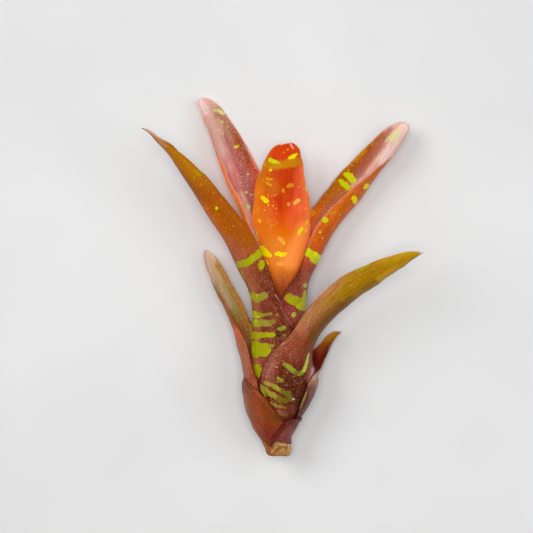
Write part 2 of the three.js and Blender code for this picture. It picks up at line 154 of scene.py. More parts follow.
# %% Leaf forms
LEAVES = {
    "bract_right": dict(
        layer=0,
        left=[[5.4, -32], [7.5, -12], [10.5, 7], [13.6, 16], [16.6, 24], [17.9, 35], [18.6, 50],
              [18.7, 82], [19.8, 115], [22.5, 143]],
        right=[[5.4, 200], [14, 198], [19, 180], [22.5, 147]],
        foot=[[-32, 5.2], [0, 7.7], [45, 7], [90, 5.8], [140, 6.6], [200, 9]],
        long_margin="left",
        swell=[[14, 0], [18, 0.15], [25, 0.15]]),
    "bract_left": dict(
        layer=1,
        left=[[5.4, -163], [15, -163], [25, -158], [32, -142], [37, -115], [40, -88]],
        right=[[5.4, 60], [13, 50], [16.5, 27], [19.1, 13], [22.7, -2], [26.2, -12], [29.2, -20],
               [30.7, -27], [33.1, -36], [35.5, -51], [37.3, -63], [40, -84]],
        foot=[[-163, 9.8], [-90, 10], [-60, 8.2], [-28, 5.4], [-10, 7.2], [8, 8.2], [60, 7.2]]),
    "leaf_right_low": dict(
        layer=1,
        left=[[13, 68], [20.3, 60], [22.4, 54], [27.5, 48], [38.5, 48], [41.5, 47]],
        right=[[13, 190], [38, 190], [41.5, 178]],
        blade=[
            [[19.8, 42.2, 1.5], [9, 47.2, -15.8], 5.6],
            [[21.1, 45.4, -1], [12.5, 49.4, -15], 5],
            [[22.8, 49.5, -4], [16.2, 52, -14], 3.9],
            [[25.2, 54.5, -6.5], [20.6, 55.8, -13.4], 2.8],
            [[28, 58.3, -8.2], [24, 60, -12.6], 1.8],
            [[30, 60.5, -9.2], [27.6, 62, -11.8], 1],
            [[31.2, 61.6, -10], [30.9, 62, -10.3], 0.15]]),
    "leaf_left_low": dict(
        layer=2,
        left=[[13, -168], [38, -166], [47, -160]],
        right=[[13, 0], [25, -22], [30.6, -28], [32.6, -36], [39.5, -43], [45.9, -50], [47, -52]],
        swell=[[38, 0], [39.5, 0.1], [41, 0.65], [42.5, 1.3], [44.5, 1.9], [47, 2]],
        blade=[
            [[-8.5, 55.5, -14.5], [-15.6, 54.5, 7.2], 9],
            [[-14.2, 66, -11.6], [-20.2, 64, 3.6], 6.4],
            [[-18.4, 76, -10], [-25.9, 72.5, 0.6], 4.8],
            [[-23.2, 84.5, -9.8], [-30.6, 80, -1.6], 3.5],
            [[-27.6, 92.6, -10], [-34.6, 88.5, -3.6], 2.6],
            [[-31.6, 98.8, -10.3], [-36.9, 95.5, -6], 1.6],
            [[-35, 102, -10.4], [-37.9, 100.2, -8.2], 0.8],
            [[-37.3, 103.2, -10.4], [-37.6, 103, -10.1], 0.15]]),
    "leaf_right_front": dict(
        layer=3,
        left=[[15.2, -20], [25, -28], [30.6, -30], [33.5, -37], [37, -39], [40.5, -39], [45, -35],
              [48.9, -26], [51.2, -22], [53.2, -14], [55.5, -4]],
        right=[[15.2, 150], [40, 145], [50.5, 122]],
        blade=[
            [[5.2, 60.5, 13.9], [14.5, 54.6, -4.2], 7.6],
            [[9.8, 68.2, 14.4], [17.8, 61.2, -0.8], 7.2],
            [[15.7, 76.4, 15.3], [23.7, 67.4, 2.6], 6.8],
            [[29, 88.9, 18], [37.2, 78.4, 8.4], 6],
            [[44.4, 96.5, 22.2], [48.9, 86.2, 14.6], 4.4],
            [[56.2, 100.7, 26], [59.2, 93.5, 20.8], 2.7],
            [[63.5, 102.3, 28.2], [65.4, 98, 25.4], 1.3],
            [[70.4, 102, 30.3], [70.6, 101.6, 30], 0.15]]),
    "leaf_left_tall": dict(
        layer=4,
        left=[[18, -168], [60, -168], [78, -165]],
        right=[[18, 50], [50, 42], [63.2, 33], [65, 32], [68.7, 23], [71.7, 14], [74.7, 6],
               [78, -1]],
        left_flank=[[36, 0], [44, 0.8], [58, 0.9], [66, 0.4], [72, 0]],
        blade=[
            [[-6, 88, -12], [-2.8, 86, 14], 11.8],
            [[-11, 99, -9], [-7.3, 97.5, 12.6], 12.7],
            [[-18, 114.5, -5.5], [-14.7, 113, 11.6], 12.9],
            [[-27.5, 126.5, -2.5], [-24.7, 125.5, 12], 11.6],
            [[-37.5, 138.2, 1.5], [-34.7, 137.7, 13.4], 9.4],
            [[-47, 147.8, 6], [-44.7, 147.5, 14.8], 6.6],
            [[-53.1, 154.9, 9.5], [-52.4, 153.2, 15.8], 4.4],
            [[-59.5, 158.7, 12.5], [-59.5, 157, 16.2], 2.1],
            [[-64.3, 162.2, 14.8], [-64.6, 161, 16.3], 0.9],
            [[-68.2, 163.4, 15.9], [-68.4, 163.1, 16.1], 0.15]]),
    "leaf_right_tall": dict(
        layer=5,
        left=[[20.5, -30], [60, -20], [70, -10], [78.9, 1], [82, 9]],
        right=[[20.5, 195], [60, 195], [82, 190]],
        blade=[
            [[8.2, 90, 10.8], [2.5, 93, -13.6], 10.3],
            [[12.7, 100.5, 8.2], [7, 105, -14.2], 11.2],
            [[17.7, 113.5, 6], [11.8, 117.5, -14.4], 12.7],
            [[25.2, 123, 4.2], [19, 127, -15], 12],
            [[36.2, 133.5, 2], [28.6, 139.5, -16.4], 11.8],
            [[45.2, 140.7, 1], [36.3, 147.7, -16], 8.8],
            [[55.2, 149, 0.2], [46, 157.3, -14], 5.2],
            [[61.4, 157, -1.6], [53.4, 164, -10.8], 2.7],
            [[64.3, 162.5, -3.6], [58.8, 166.8, -8], 1.3],
            [[64.8, 166, -5.4], [63, 167.3, -6.2], 0.3]]),
    "leaf_back_left": dict(
        layer=6,
        left=[[23, -215], [84, -212]],
        right=[[23, -20], [84, -30]],
        blade=[
            [[3.4, 100, -11.6], [-9.8, 97, 8.2], 7.8],
            [[1.5, 113, -13.5], [-12.6, 108, 7], 8.6],
            [[-3.6, 129.4, -15.2], [-18.4, 124, 4.4], 9.2],
            [[-10, 142.5, -16.6], [-25.4, 138.5, 1], 9],
            [[-16.7, 156, -17.6], [-31.2, 152.5, -2.8], 7.2],
            [[-23.8, 167.4, -18], [-36.6, 165, -7.2], 4.2],
            [[-30, 175.4, -16.6], [-40.2, 172.7, -10.2], 2.2],
            [[-34.8, 179.2, -15], [-41.6, 177, -11.8], 1],
            [[-38.6, 180, -13.6], [-40.4, 179.5, -13], 0.2]]),
    "leaf_centre": dict(
        layer=7,
        left=[[25.5, -110], [60, -90], [78, -76]],
        right=[[25.5, 110], [60, 90], [78, 76]],
        blade=[
            [[-9.6, 92, 2.2], [11.2, 92, 1.8], 9.2],
            [[-10.4, 105, 2], [14, 105, 1.8], 9.4],
            [[-13.4, 119.5, 2], [15.6, 118.5, 2], 9.4],
            [[-12.5, 131, 2.4], [14.3, 131, 2.4], 8.6],
            [[-10.2, 141, 3], [12.2, 141, 3], 7],
            [[-6.6, 149, 3.8], [11, 149.5, 3.8], 5],
            [[-3.6, 153.4, 4.6], [10.1, 153.2, 4.6], 3.2],
            [[-0.8, 155.6, 5.2], [7.6, 155.9, 5.2], 1.8],
            [[2.2, 156.4, 5.8], [5.4, 156.6, 5.8], 0.7]]),
}
print(len(LEAVES), "leaves")

# %% [markdown]
# ## The outer face of a leaf
# A leaf's outer face is an array of points, one row for each step along the leaf. On the tube a
# row runs from margin to margin at its layer's radius. Free of the tube it is a round arc. A
# real sheath is thin at its margins and hugs the leaf inside it, so near the margins the face
# sinks almost onto the next layer. That is what makes the overlaps read as thin leaves and not
# as plywood. Shrinkwrap could do the same, but it would need each inner leaf to be done first.

# %% Rows along the tube
COLUMNS = 65
ROW_STEP = 0.7  # between two rows of points, along the leaf
MARGIN_THICK = 0.3
MARGIN_REACH = 4.0  # how far in from its margin a leaf is thinned
MARGIN_REST = 0.1  # air under a margin that lies on the next layer
HUG_STOPS = (9, 1)  # mm below the sheath's top
FLANK_RISE = (45, 70)  # bearings to the left of the viewer's side
FLANK_FALL = (130, 160)
CROWDING = 0.65  # how much the columns crowd toward the margins

even_columns = np.linspace(-1, 1, COLUMNS)
crowded_columns = np.sin(even_columns * math.pi / 2)
ACROSS = (1 - CROWDING) * even_columns + CROWDING * crowded_columns  # -1 left, 1 right


def between(value, rise, fall):
    """Eases up over the first two places and down again over the last two."""
    return soft_step(value, *rise) * (1 - soft_step(value, *fall))


def layer_radius(y, layer):
    return along(TUBE_RADIUS, y) - layer * along(LAYER_PITCH, y)


def on_tube(y, bearing, radius):
    turn = np.radians(bearing)
    return np.stack([along(TUBE_MIDDLE, y) + radius * np.sin(turn), y, radius * np.cos(turn)], -1)


def margin_curves(leaf):
    return [[(bearing * MM_PER_DEGREE, y) for y, bearing in leaf[side]]
            for side in ("left", "right")]


def coarse_steps(leaf):
    """How many rows the plain solid has along the tube."""
    left, right = margin_curves(leaf)
    margin = left if leaf.get("long_margin") == "left" else right
    return round(evenly(margin, [0])[1] / SHEATH_STEP)


def sheath_rows(leaf, t, hug=1.0):
    """Outer points of the rows at t, from 0 at the foot to 1 where the blade starts."""
    t = np.asarray(t, float)
    left, right = (evenly(curve, t)[0] for curve in margin_curves(leaf))
    share = (ACROSS[None, :, None] + 1) / 2
    here = left[:, None] * (1 - share) + right[:, None] * share
    bearing, y = here[..., 0] / MM_PER_DEGREE, here[..., 1]
    if "foot" in leaf:
        y = y + (along(leaf["foot"], bearing) - leaf["left"][0][0]) * (1 - t[:, None]) ** 2
    radius = layer_radius(y, leaf["layer"])
    if "swell" in leaf:
        radius = radius + along(leaf["swell"], y)
    if "left_flank" in leaf:
        radius = radius + along(leaf["left_flank"], y) * between(-bearing, FLANK_RISE, FLANK_FALL)
    points = on_tube(y, bearing, radius)
    edge = edge_distance(points)
    top = leaf["left"][-1][0]
    if "blade" not in leaf:
        edge = np.minimum(edge, top - y)
    sink = along(LAYER_PITCH, y) - MARGIN_THICK - MARGIN_REST
    sink = sink * (1 - soft_step(edge, 0, MARGIN_REACH))
    if "blade" in leaf:
        sink = sink * (1 - soft_step(y, top - HUG_STOPS[0], top - HUG_STOPS[1]))
    return on_tube(y, bearing, radius - hug * sink)


def edge_distance(points):
    """How far each point is from the nearer margin, along its row."""
    step = np.linalg.norm(np.diff(points, axis=1), axis=2)
    from_left = np.concatenate([np.zeros((len(points), 1)), np.cumsum(step, axis=1)], axis=1)
    return np.minimum(from_left, from_left[:, -1:] - from_left)


for name, leaf in LEAVES.items():
    print(name, "has", coarse_steps(leaf), "coarse rows on the tube")


# %% [markdown]
# The blade's rows are arcs through three rails: the two margins and the middle. The plain
# solids start those rails at their last two rows on the tube, so these do too. Where tube and
# blade meet, the small difference between a tube row and an arc fades out over a short way, and
# a few rounds of averaging along the leaf take away what kink is left.

# %% Rows of the free blade
JOIN_FADE = 9.0  # mm along the leaf
JOIN_ROUNDS = 40
RAIL_STEPS = 1200  # for measuring a blade's middle


def arc_rows(left, middle, right):
    half = (right - left) / 2
    rise = middle - left - half
    size = [np.linalg.norm(v, axis=1)[:, None] for v in (half, rise)]
    reach = 2 * np.arctan2(size[1], size[0])
    turn = reach * ACROSS[None, :]
    sideways = (np.sin(turn) / np.sin(reach))[..., None]
    drop = ((1 - np.cos(turn)) / (1 - np.cos(reach)))[..., None]
    return middle[:, None] + half[:, None] * sideways - rise[:, None] * drop


def blade_rails(leaf):
    steps = coarse_steps(leaf)
    before = sheath_rows(leaf, [(steps - 1) / steps, 1], hug=0)
    rails = [[row[j] for row in before] for j in (0, COLUMNS // 2, -1)]
    margins = np.array([station[:2] for station in leaf["blade"]], float)
    centres = np.vstack([(before[:, 0] + before[:, -1]) / 2, margins.mean(axis=1)])
    for i, (left, right) in enumerate(margins):
        path = centres[min(i + 3, len(centres) - 1)] - centres[i + 1]
        outward = np.cross(right - left, path / np.linalg.norm(path))
        outward /= np.linalg.norm(outward)
        middle = centres[i + 2] + outward * leaf["blade"][i][2]
        for points, point in zip(rails, (left, middle, right)):
            points.append(point)
    return rails


def leaf_rows(leaf):
    """All outer points of a leaf, and each row's distance past the end of the sheath."""
    left, right = margin_curves(leaf)
    sheath_length = max(evenly(curve, [0])[1] for curve in (left, right))
    if leaf.get("long_margin") != "left":
        sheath_length = evenly(right, [0])[1]
    rows = sheath_rows(leaf, np.linspace(0, 1, round(sheath_length / ROW_STEP) + 1))
    past = np.linspace(-sheath_length, 0, len(rows))
    if "blade" not in leaf:
        return rows, past
    rails = blade_rails(leaf)
    start = 1 / (len(rails[0]) - 1)
    fine = np.linspace(start, 1, RAIL_STEPS)
    run = run_length(rail(rails[1], fine))
    distance = np.linspace(0, run[-1], round(run[-1] / ROW_STEP) + 1)
    free = arc_rows(*(rail(points, np.interp(distance, run, fine)) for points in rails))
    free += (rows[-1] - free[0]) * (1 - soft_step(distance, 0, JOIN_FADE))[:, None, None]
    rows = np.concatenate([rows, free[1:]])
    past = np.concatenate([past, distance[1:]])
    blend = 0.5 * np.exp(-(past / (JOIN_FADE / 2)) ** 2)[1:-1, None, None]
    for _ in range(JOIN_ROUNDS):
        rows[1:-1] += blend * (rows[:-2] + rows[2:] - 2 * rows[1:-1])
    return rows, past


# %% [markdown]
# The shoot is soft, so its weight presses the back of the tube flat, every layer alike, and the
# backs of two blades lie on the table. A cloth simulation could press it, but it would also move
# what the photograph shows, so the back is flattened by a formula. The free blades also get a
# faint ripple toward their margins, as all strap leaves have: two sine waves that never line up.

# %% Rest and ripple
RIPPLE = 0.28  # mm, at the margins
RIPPLE_STARTS = (6, 25)  # mm past the sheath, from none to all
RIPPLE_WIDTHS = (2, 12)  # mm of blade, so the narrow tip stays smooth
LONG_WAVE = 0.37  # radians a millimetre
SHORT_WAVE = 0.83
MARGIN_LAG = 1.3  # radians, to either side
LEAF_LAG = 1.7  # radians from one leaf to the next


def flatten(points):
    radius = layer_radius(points[..., 1], REST_LAYER)
    across = points[..., 0] - along(TUBE_MIDDLE, points[..., 1])
    under = (points[..., 2] < 0) & (np.abs(across) < radius)
    excess = np.sqrt(np.maximum(radius ** 2 - across ** 2, 0)) - AXIS_HEIGHT
    excess = np.where(under, np.maximum(excess, 0), 0)
    points[..., 2] -= excess * points[..., 2] / (AXIS_HEIGHT + excess)
    points[..., 2] = np.maximum(points[..., 2], -AXIS_HEIGHT)
    return points


def face_normals(points):
    normal = np.cross(np.gradient(points, axis=1), np.gradient(points, axis=0))
    return normal / np.maximum(np.linalg.norm(normal, axis=2), 1e-9)[..., None]


def ripple(points, past, phase):
    width = np.linalg.norm(points[:, -1] - points[:, 0], axis=1)[:, None]
    free = soft_step(past, *RIPPLE_STARTS)[:, None] * soft_step(width, *RIPPLE_WIDTHS)
    wave = np.sin(past[:, None] * LONG_WAVE + phase + MARGIN_LAG * np.sign(ACROSS)[None, :])
    wave += 0.5 * np.sin(past[:, None] * SHORT_WAVE + 2 * phase)
    height = RIPPLE * free * wave * np.abs(ACROSS)[None, :] ** 3
    return points + face_normals(points) * height[..., None]


outer = {}
for order, (name, leaf) in enumerate(LEAVES.items()):
    points, past = leaf_rows(leaf)
    outer[name] = (flatten(ripple(points, past, LEAF_LAG * order)), past)
    print(name, points.shape[0], "rows, reaches", np.round(points.reshape(-1, 3).max(0), 1))

# %% [markdown]
# ## What the viewer sees, and the colours
# The strokes of paint and the bands are placed as the viewer sees them: X to the right of the
# stem's middle and H above the cut end, in millimetres, seen from straight above at 1.5 m.
# `seen` gives that place for any point. A brush in Texture Paint would work from the same view,
# but its strokes end up in an image, and here every stroke stays a line that can be changed.
#
# The palette holds the plant's pigments. Red and wine come from the sap, orange and ochre show
# where it is thin, lime and yellow where it is missing, and rose is the pale bloom on the faces
# that look to the middle of the shoot. The codes were tuned by setting renders beside the
# photograph. Both were measured at single spots, which gives the paint that a spot needs under
# these lights. About a third of the codes are such readings as they stand, and the rest were
# chosen, many of them near one. By eye alone, the light's share of a colour is easily
# taken for paint.
# The pigment shadow is painted shade, and some strokes of the pale and bright pigments are painted
# highlights or lift parts that lie in shade, as each leaf's cell says.

# %% Viewed places and pigments
EYE = np.array([-6.5, 94.75, 1500.0])  # the camera, in the plant's frame


def seen(points):
    return EYE[:2] + (points[..., :2] - EYE[:2]) * (EYE[2] / (EYE[2] - points[..., 2:3]))


def pigment(code):
    """A colour from its hex code, as the shader's linear values."""
    values = np.array([int(code[i:i + 2], 16) for i in (0, 2, 4)]) / 255
    return np.where(values <= 0.04045, values / 12.92, ((values + 0.055) / 1.055) ** 2.4)


PIGMENT_CODES = dict(
    shadow="3c0c05", maroon="500a06", plum="5c2622", wine="70281a", oxblood="832e22",
    rosewood="8f493f", russet="8a3e27", hide="9a5538", chestnut="7a3410", brick="94391c",
    rust="9a4720", clay="aa5936", terracotta="b06a4e", sand="a96944", tan="b2764b",
    bronze="6e4408", ochre="a05000", umber_gold="906600", amber="ac6c00", honey="a47a00",
    mustard="be9400", tangerine="d66600", orange="ea7412", pumpkin="dc7824", flame="b42800",
    scarlet="c73006", vermilion="c94a2b", coral="f05a38", melon="f87440", peach="fb8d41",
    ember="de5a28", wheat="d8b094", shell="ffc0a4", copper="bb5f1a", fire="cc4606",
    sienna="d2673f", fern="74660e", garnet="7c3438", husk="dcae74", shale="dcc4a8", sun="d8a010",
    chartreuse="dce200", crimson="8e2c2a", ruby="9a1c10", salmon="f5948b", mauve="b5635e",
    dusty="a2685b", fawn="a4775b", rose="e9b6aa", cream="f6dcd8", straw="c2a17a", sage="8a8848",
    caramel="a06c2c", pith="c69159", bark="9e6321", cinnamon="9d571a", gold="c07c00",
    butter="f0bc50", yellow="e8d800", acid="c4cc00", lime="a0a000", moss="8c7820", khaki="b6ac4a",
    olive="98942c", leaf_green="8a9420", lettuce="b4c44a", pale_green="d9db89")
PIGMENTS = {name: pigment(code) for name, code in PIGMENT_CODES.items()}
print(len(PIGMENTS), "pigments")

# %% [markdown]
# ## Paint
# `ramp` gives a face its base colours up the leaf, by H. `brush` lays soft strokes on it: each
# stroke is a pigment, how strongly it covers, how wide it is, and its path as (X, H). A point's
# colour is a sum of eased shares, so nothing has a hard edge. That is right for the slow
# changes, such as a leaf's redder tube or the rose bloom toward a tip. They are worked out once,
# on the mesh's points, so the shader needs only one attribute for each face.


# %% Ramps and brushes
STROKE_CORE = 0.25  # the share of a stroke's width that covers fully


def path_distance(path, spots):
    """How far each spot is from a path, in the viewer's plane."""
    path = np.atleast_2d(np.array(path, float))
    nearest = np.linalg.norm(spots - path[0], axis=-1)
    for start, end in zip(path[:-1], path[1:]):
        reach = end - start
        t = np.clip(((spots - start) @ reach) / (reach @ reach), 0, 1)
        nearest = np.minimum(nearest, np.linalg.norm(spots - start - t[..., None] * reach, axis=-1))
    return nearest


def ramp(stops, height):
    place = [stop[0] for stop in stops]
    colours = np.array([PIGMENTS[stop[1]] for stop in stops])
    return np.stack([np.interp(height, place, colours[:, k]) for k in range(3)], -1)


def stroke_cover(path, width, spots):
    return 1 - soft_step(path_distance(path, spots), STROKE_CORE * width, width)


def brush(colour, strokes, spots):
    for name, strength, width, path in strokes:
        cover = strength * stroke_cover(path, width, spots)
        colour = colour + cover[..., None] * (PIGMENTS[name] - colour)
    return colour


def dusting(strokes, spots, base):
    """How dense the pale scales lie, from 0 to 1."""
    amount = np.full(spots.shape[:-1], float(base))
    for strength, width, path in strokes:
        amount = amount + stroke_cover(path, width, spots) * (strength - amount)
    return amount


print("a stroke covers fully over", STROKE_CORE, "of its width")

# %% [markdown]
# A band is a place with no red pigment, and its edge is crisp. So it isn't painted as a colour,
# but as a depth: how far, in millimetres, a point lies inside the nearest mark. The shader
# turns that depth into a ragged edge far finer than the mesh. A mark is a string of round beads
# along a path of (X, H, radius). Each bead sits on the leaf where the viewer sees it, and the
# true distance keeps it off the far side of the tube.


# %% Marks
BEAD_STEP = 0.6  # mm
BEAD_STRAY = 0.13  # of its radius, sideways
BEAD_SIZES = (0.8, 1.12)
SPREAD = 0.15  # the frayed edge adds this much
OUTSIDE = -9.0  # the depth of a point that no mark reaches
MARK_SEED = 5


def bead_string(path, rng):
    """Beads along a path of (X, H, radius), each a little off its place and size."""
    path = np.array(path, float)
    length = run_length(path[:, :2])
    steps = np.linspace(0, length[-1], int(length[-1] / BEAD_STEP) + 1)
    beads = np.stack([np.interp(steps, length, path[:, k]) for k in range(3)], 1)
    beads[:, :2] += rng.normal(0, BEAD_STRAY, (len(beads), 2)) * beads[:, 2:]
    beads[:, 2] *= rng.uniform(*BEAD_SIZES, len(beads))
    return beads


def mark_depth(marks, points, facing, hidden):
    """The depth inside the marks at each point, and the colour and strength of the nearest."""
    flat = points.reshape(-1, 3)
    spots = seen(flat)
    shown = np.flatnonzero(facing)
    depth = np.full(len(flat), OUTSIDE)
    paint = np.ones((len(flat), 4))
    paint[:, :3] = PIGMENTS["lime"]
    beads = []
    rng = np.random.default_rng(MARK_SEED)
    for name, strength, path in marks:
        for x, h, radius in bead_string(path, rng):
            place = shown[np.argmin(((spots[shown] - (x, h)) ** 2).sum(1))]
            radius -= min(SPREAD, 0.2 * radius)
            beads.append((name, strength, radius, np.array([x, h]), flat[place]))
    for name, strength, radius, place in hidden:
        beads.append((name, strength, radius, None, place))
    for name, strength, radius, spot, place in beads:
        distance = np.linalg.norm(flat - place, axis=1)
        if spot is not None:
            distance = np.maximum(0.5 * distance, np.linalg.norm(spots - spot, axis=1))
        inside = radius - distance
        closer = inside > depth
        depth[closer] = inside[closer]
        paint[closer] = [*PIGMENTS[name], strength]
    return depth, paint


print("beads every", BEAD_STEP, "mm")

# %% [markdown]
# The photograph shows no leaf's back, but the plant is banded all round. So each sheath gets a
# few seeded bands on the side away from the viewer, of the same beads. Leaving the backs plain
# would show at once when the shoot is picked up and turned.

# %% Bands on the backs
BACK_ENDS = 3  # rows kept free at either end, and the most that a band strays
BACK_SHORTEST = 5  # columns that a band crosses, at least
BACK_NARROWEST = 12  # columns that a row needs for a band
BACK_RADII = (0.5, 1.9)


def back_bands(points, past, name, count, seed):
    """Beads of bands on the side of a sheath that is turned away from the viewer."""
    rng = np.random.default_rng(seed)
    normal = face_normals(points)
    away = (normal[..., 2] < 0.1) & (past[:, None] < 0)
    rows = np.flatnonzero(away.any(axis=1))
    found = []
    for row in np.linspace(rows[0] + BACK_ENDS, rows[-1] - BACK_ENDS, count).astype(int):
        row = int(np.clip(row + rng.integers(-BACK_ENDS, BACK_ENDS + 1), 0, len(points) - 1))
        columns = np.flatnonzero(away[row])
        if len(columns) < BACK_NARROWEST:
            continue
        length = int(rng.integers(BACK_SHORTEST, max(BACK_SHORTEST + 1, len(columns) // 2)))
        first = int(rng.integers(0, max(1, len(columns) - length)))
        radius = rng.uniform(*BACK_RADII)
        for step, column in enumerate(columns[first:first + length]):
            taper = 0.6 + 0.4 * math.sin(math.pi * (step + 0.5) / length)
            found.append((name, rng.uniform(0.6, 1), radius * taper, points[row, column]))
    return found


print("bands on the backs have beads of", BACK_RADII, "mm radius")

# %% [markdown]
# ## Shader groups
# The fine detail is the same on every leaf, so it is built once, as groups. Each takes the
# `strap` map, which unrolls a leaf in millimetres (across, along), so veins run with the leaf
# and draw together at its tip. Each group gives back only a mask or a colour, and the leaf's own
# material does the shading. Node trees could be wired by hand in the editor. These few helpers
# do the same in code: each adds a node, links or sets its inputs, and gives its output back.


# %% Node helpers
def add(tree, kind, inputs=None, **settings):
    made = tree.nodes.new(kind)
    for key, value in settings.items():
        setattr(made, key, value)
    for key, value in (inputs or {}).items():
        if isinstance(value, bpy.types.NodeSocket):
            tree.links.new(value, made.inputs[key])
        else:
            made.inputs[key].default_value = value
    return made


def use_group(tree, group, inputs):
    return add(tree, "ShaderNodeGroup", inputs, node_tree=group).outputs


def new_group(name, inputs, outputs):
    tree = bpy.data.node_groups.new(name, "ShaderNodeTree")
    for label, kind, value in inputs:
        socket = tree.interface.new_socket(label, in_out="INPUT", socket_type=kind)
        if value is not None:
            socket.default_value = value
    for label, kind in outputs:
        tree.interface.new_socket(label, in_out="OUTPUT", socket_type=kind)
    return tree, tree.nodes.new("NodeGroupInput").outputs, tree.nodes.new("NodeGroupOutput").inputs


def maths(tree, operation, first, second=0.0, third=0.0):
    made = add(tree, "ShaderNodeMath", {0: first, 1: second, 2: third}, operation=operation)
    return made.outputs[0]


def weighted(tree, first, first_share, second, second_share):
    first = maths(tree, "MULTIPLY", first, first_share)
    return maths(tree, "ADD", first, maths(tree, "MULTIPLY", second, second_share))


def ease(tree, value, low, high, start=0.0, end=1.0):
    made = add(tree, "ShaderNodeMapRange", {
        "Value": value, "From Min": low, "From Max": high, "To Min": start, "To Max": end},
        interpolation_type="SMOOTHSTEP")
    return made.outputs[0]


def blend_colour(tree, share, first, second):
    made = add(tree, "ShaderNodeMix", {0: share, 6: first, 7: second}, data_type="RGBA")
    return made.outputs[2]


def scaled(tree, vector, share):
    """A vector or a colour times one number."""
    return add(tree, "ShaderNodeVectorMath", {0: vector, 3: share}, operation="SCALE").outputs[0]


def stretched(tree, vector, scale, seed=0.0):
    """The strap map with its own scale across and along, moved by a seed."""
    made = add(tree, "ShaderNodeMapping", {
        "Vector": vector, "Location": (seed, 1.7 * seed, seed), "Scale": scale})
    return made.outputs[0]


def noise(tree, vector, detail=3.0, roughness=0.55):
    made = add(tree, "ShaderNodeTexNoise", {
        "Vector": vector, "Scale": 1.0, "Detail": detail, "Roughness": roughness})
    return made.outputs["Fac"]


print("node helpers ready")

# %% [markdown]
# Veins are parallel in a strap leaf. Real ones are about a millimetre apart, with finer ones
# between. A noise stretched thirtyfold along the leaf gives lines that start and end, as a
# wave's perfectly even lines would not.

# %% Vein lines
VEIN_STRETCH = 0.035  # the noise's scale along the leaf, for 1 across
veins, given, gives = new_group(
    "vein_lines", [("Strap", "NodeSocketVector", None), ("Spacing", "NodeSocketFloat", 1.0)],
    [("Lines", "NodeSocketFloat")])
spacing = maths(veins, "DIVIDE", 1.0, given["Spacing"])
thin = maths(veins, "MULTIPLY", spacing, VEIN_STRETCH)
scale = add(veins, "ShaderNodeCombineXYZ", {0: spacing, 1: thin, 2: 1.0}).outputs[0]
strap = add(veins, "ShaderNodeVectorMath", {0: given["Strap"], 1: scale}, operation="MULTIPLY")
broad = noise(veins, strap.outputs[0], 1.0)
fine = noise(veins, stretched(veins, strap.outputs[0], (2.7, 1.6, 1.0), 5.0), 2.0)
both = weighted(veins, broad, 0.55, fine, 0.45)
veins.links.new(ease(veins, both, 0.36, 0.64), gives["Lines"])
print("vein group:", len(veins.nodes), "nodes")

# %% [markdown]
# A band's edge: the depth plus a noise that is finer across the leaf than along it, because
# the pigment stops at the veins. The mesh has points only every 0.7 mm, so an edge that was
# painted on the points would be a staircase or a blur. The depth changes slowly from point to
# point, and the shader finds the crisp place where it passes zero.

# %% Ragged edge
ragged, given, gives = new_group(
    "ragged_edge",
    [("Depth", "NodeSocketFloat", 0.0), ("Strap", "NodeSocketVector", None),
     ("Raggedness", "NodeSocketFloat", 0.5), ("Softness", "NodeSocketFloat", 0.25)],
    [("Mask", "NodeSocketFloat")])
fray = noise(ragged, stretched(ragged, given["Strap"], (2.6, 1.5, 1.0), 3.0), 4.0, 0.65)
bulge = noise(ragged, stretched(ragged, given["Strap"], (0.7, 0.5, 1.0), 8.0), 1.0)
both = weighted(ragged, fray, 2.2, bulge, 2.6)
swing = maths(ragged, "SUBTRACT", both, 2.4)  # the two noises' mean
shifted = maths(ragged, "MULTIPLY_ADD", swing, given["Raggedness"], given["Depth"])
low = maths(ragged, "MULTIPLY", given["Softness"], -1.0)
ragged.links.new(ease(ragged, shifted, low, given["Softness"]), gives["Mask"])
print("edge group:", len(ragged.nodes), "nodes")

# %% [markdown]
# Dots: crisp round spots of many sizes. Density is the share of them that are there, so a thin
# dusting is a few crisp dots and not a veil. The leaves use it three times: for the pale scales
# that bromeliads drink through, about a millimetre apart, for the finer dust between them, and
# for the tiny yellow flecks of the blades.

# %% Dots
dotted, given, gives = new_group(
    "dots", [("Strap", "NodeSocketVector", None), ("Density", "NodeSocketFloat", 0.3),
             ("Count", "NodeSocketFloat", 1.0), ("Radius", "NodeSocketFloat", 0.35)],
    [("Mask", "NodeSocketFloat")])
patch = noise(dotted, stretched(dotted, given["Strap"], (0.25, 0.18, 1.0), 9.0), 2.0)
patch = ease(dotted, patch, 0.36, 0.62, 0.5, 1.3)
dense = maths(dotted, "MULTIPLY", given["Density"], patch)
spread = scaled(dotted, stretched(dotted, given["Strap"], (1.0, 1.25, 1.0)), given["Count"])
cells = add(dotted, "ShaderNodeTexVoronoi", {"Vector": spread, "Scale": 1.0, "Randomness": 0.95})
chance = add(dotted, "ShaderNodeSeparateColor", {0: cells.outputs["Color"]}).outputs
# A cell has a dot where its chance and the density add up to 1, of 0.55 to 1.2 times the radius.
there = ease(dotted, maths(dotted, "ADD", chance[0], dense), 0.97, 1.1)
size = maths(dotted, "MULTIPLY", given["Radius"], ease(dotted, chance[1], 0.0, 1.0, 0.55, 1.2))
dot = ease(dotted, maths(dotted, "DIVIDE", cells.outputs["Distance"], size), 1.15, 0.8)
dot = maths(dotted, "MULTIPLY", dot, ease(dotted, chance[2], 0.0, 1.0, 0.5, 1.0))
dotted.links.new(maths(dotted, "MULTIPLY", dot, there), gives["Mask"])
print("dots group:", len(dotted.nodes), "nodes")

# %% [markdown]
# Mottling: no part of a leaf has one flat colour. Slow clouds shift it toward a second colour
# and a finer cloud makes it lighter and darker. A colour ramp on one noise would do, but it would
# give every leaf the same two colours, and here the strokes of paint show through.

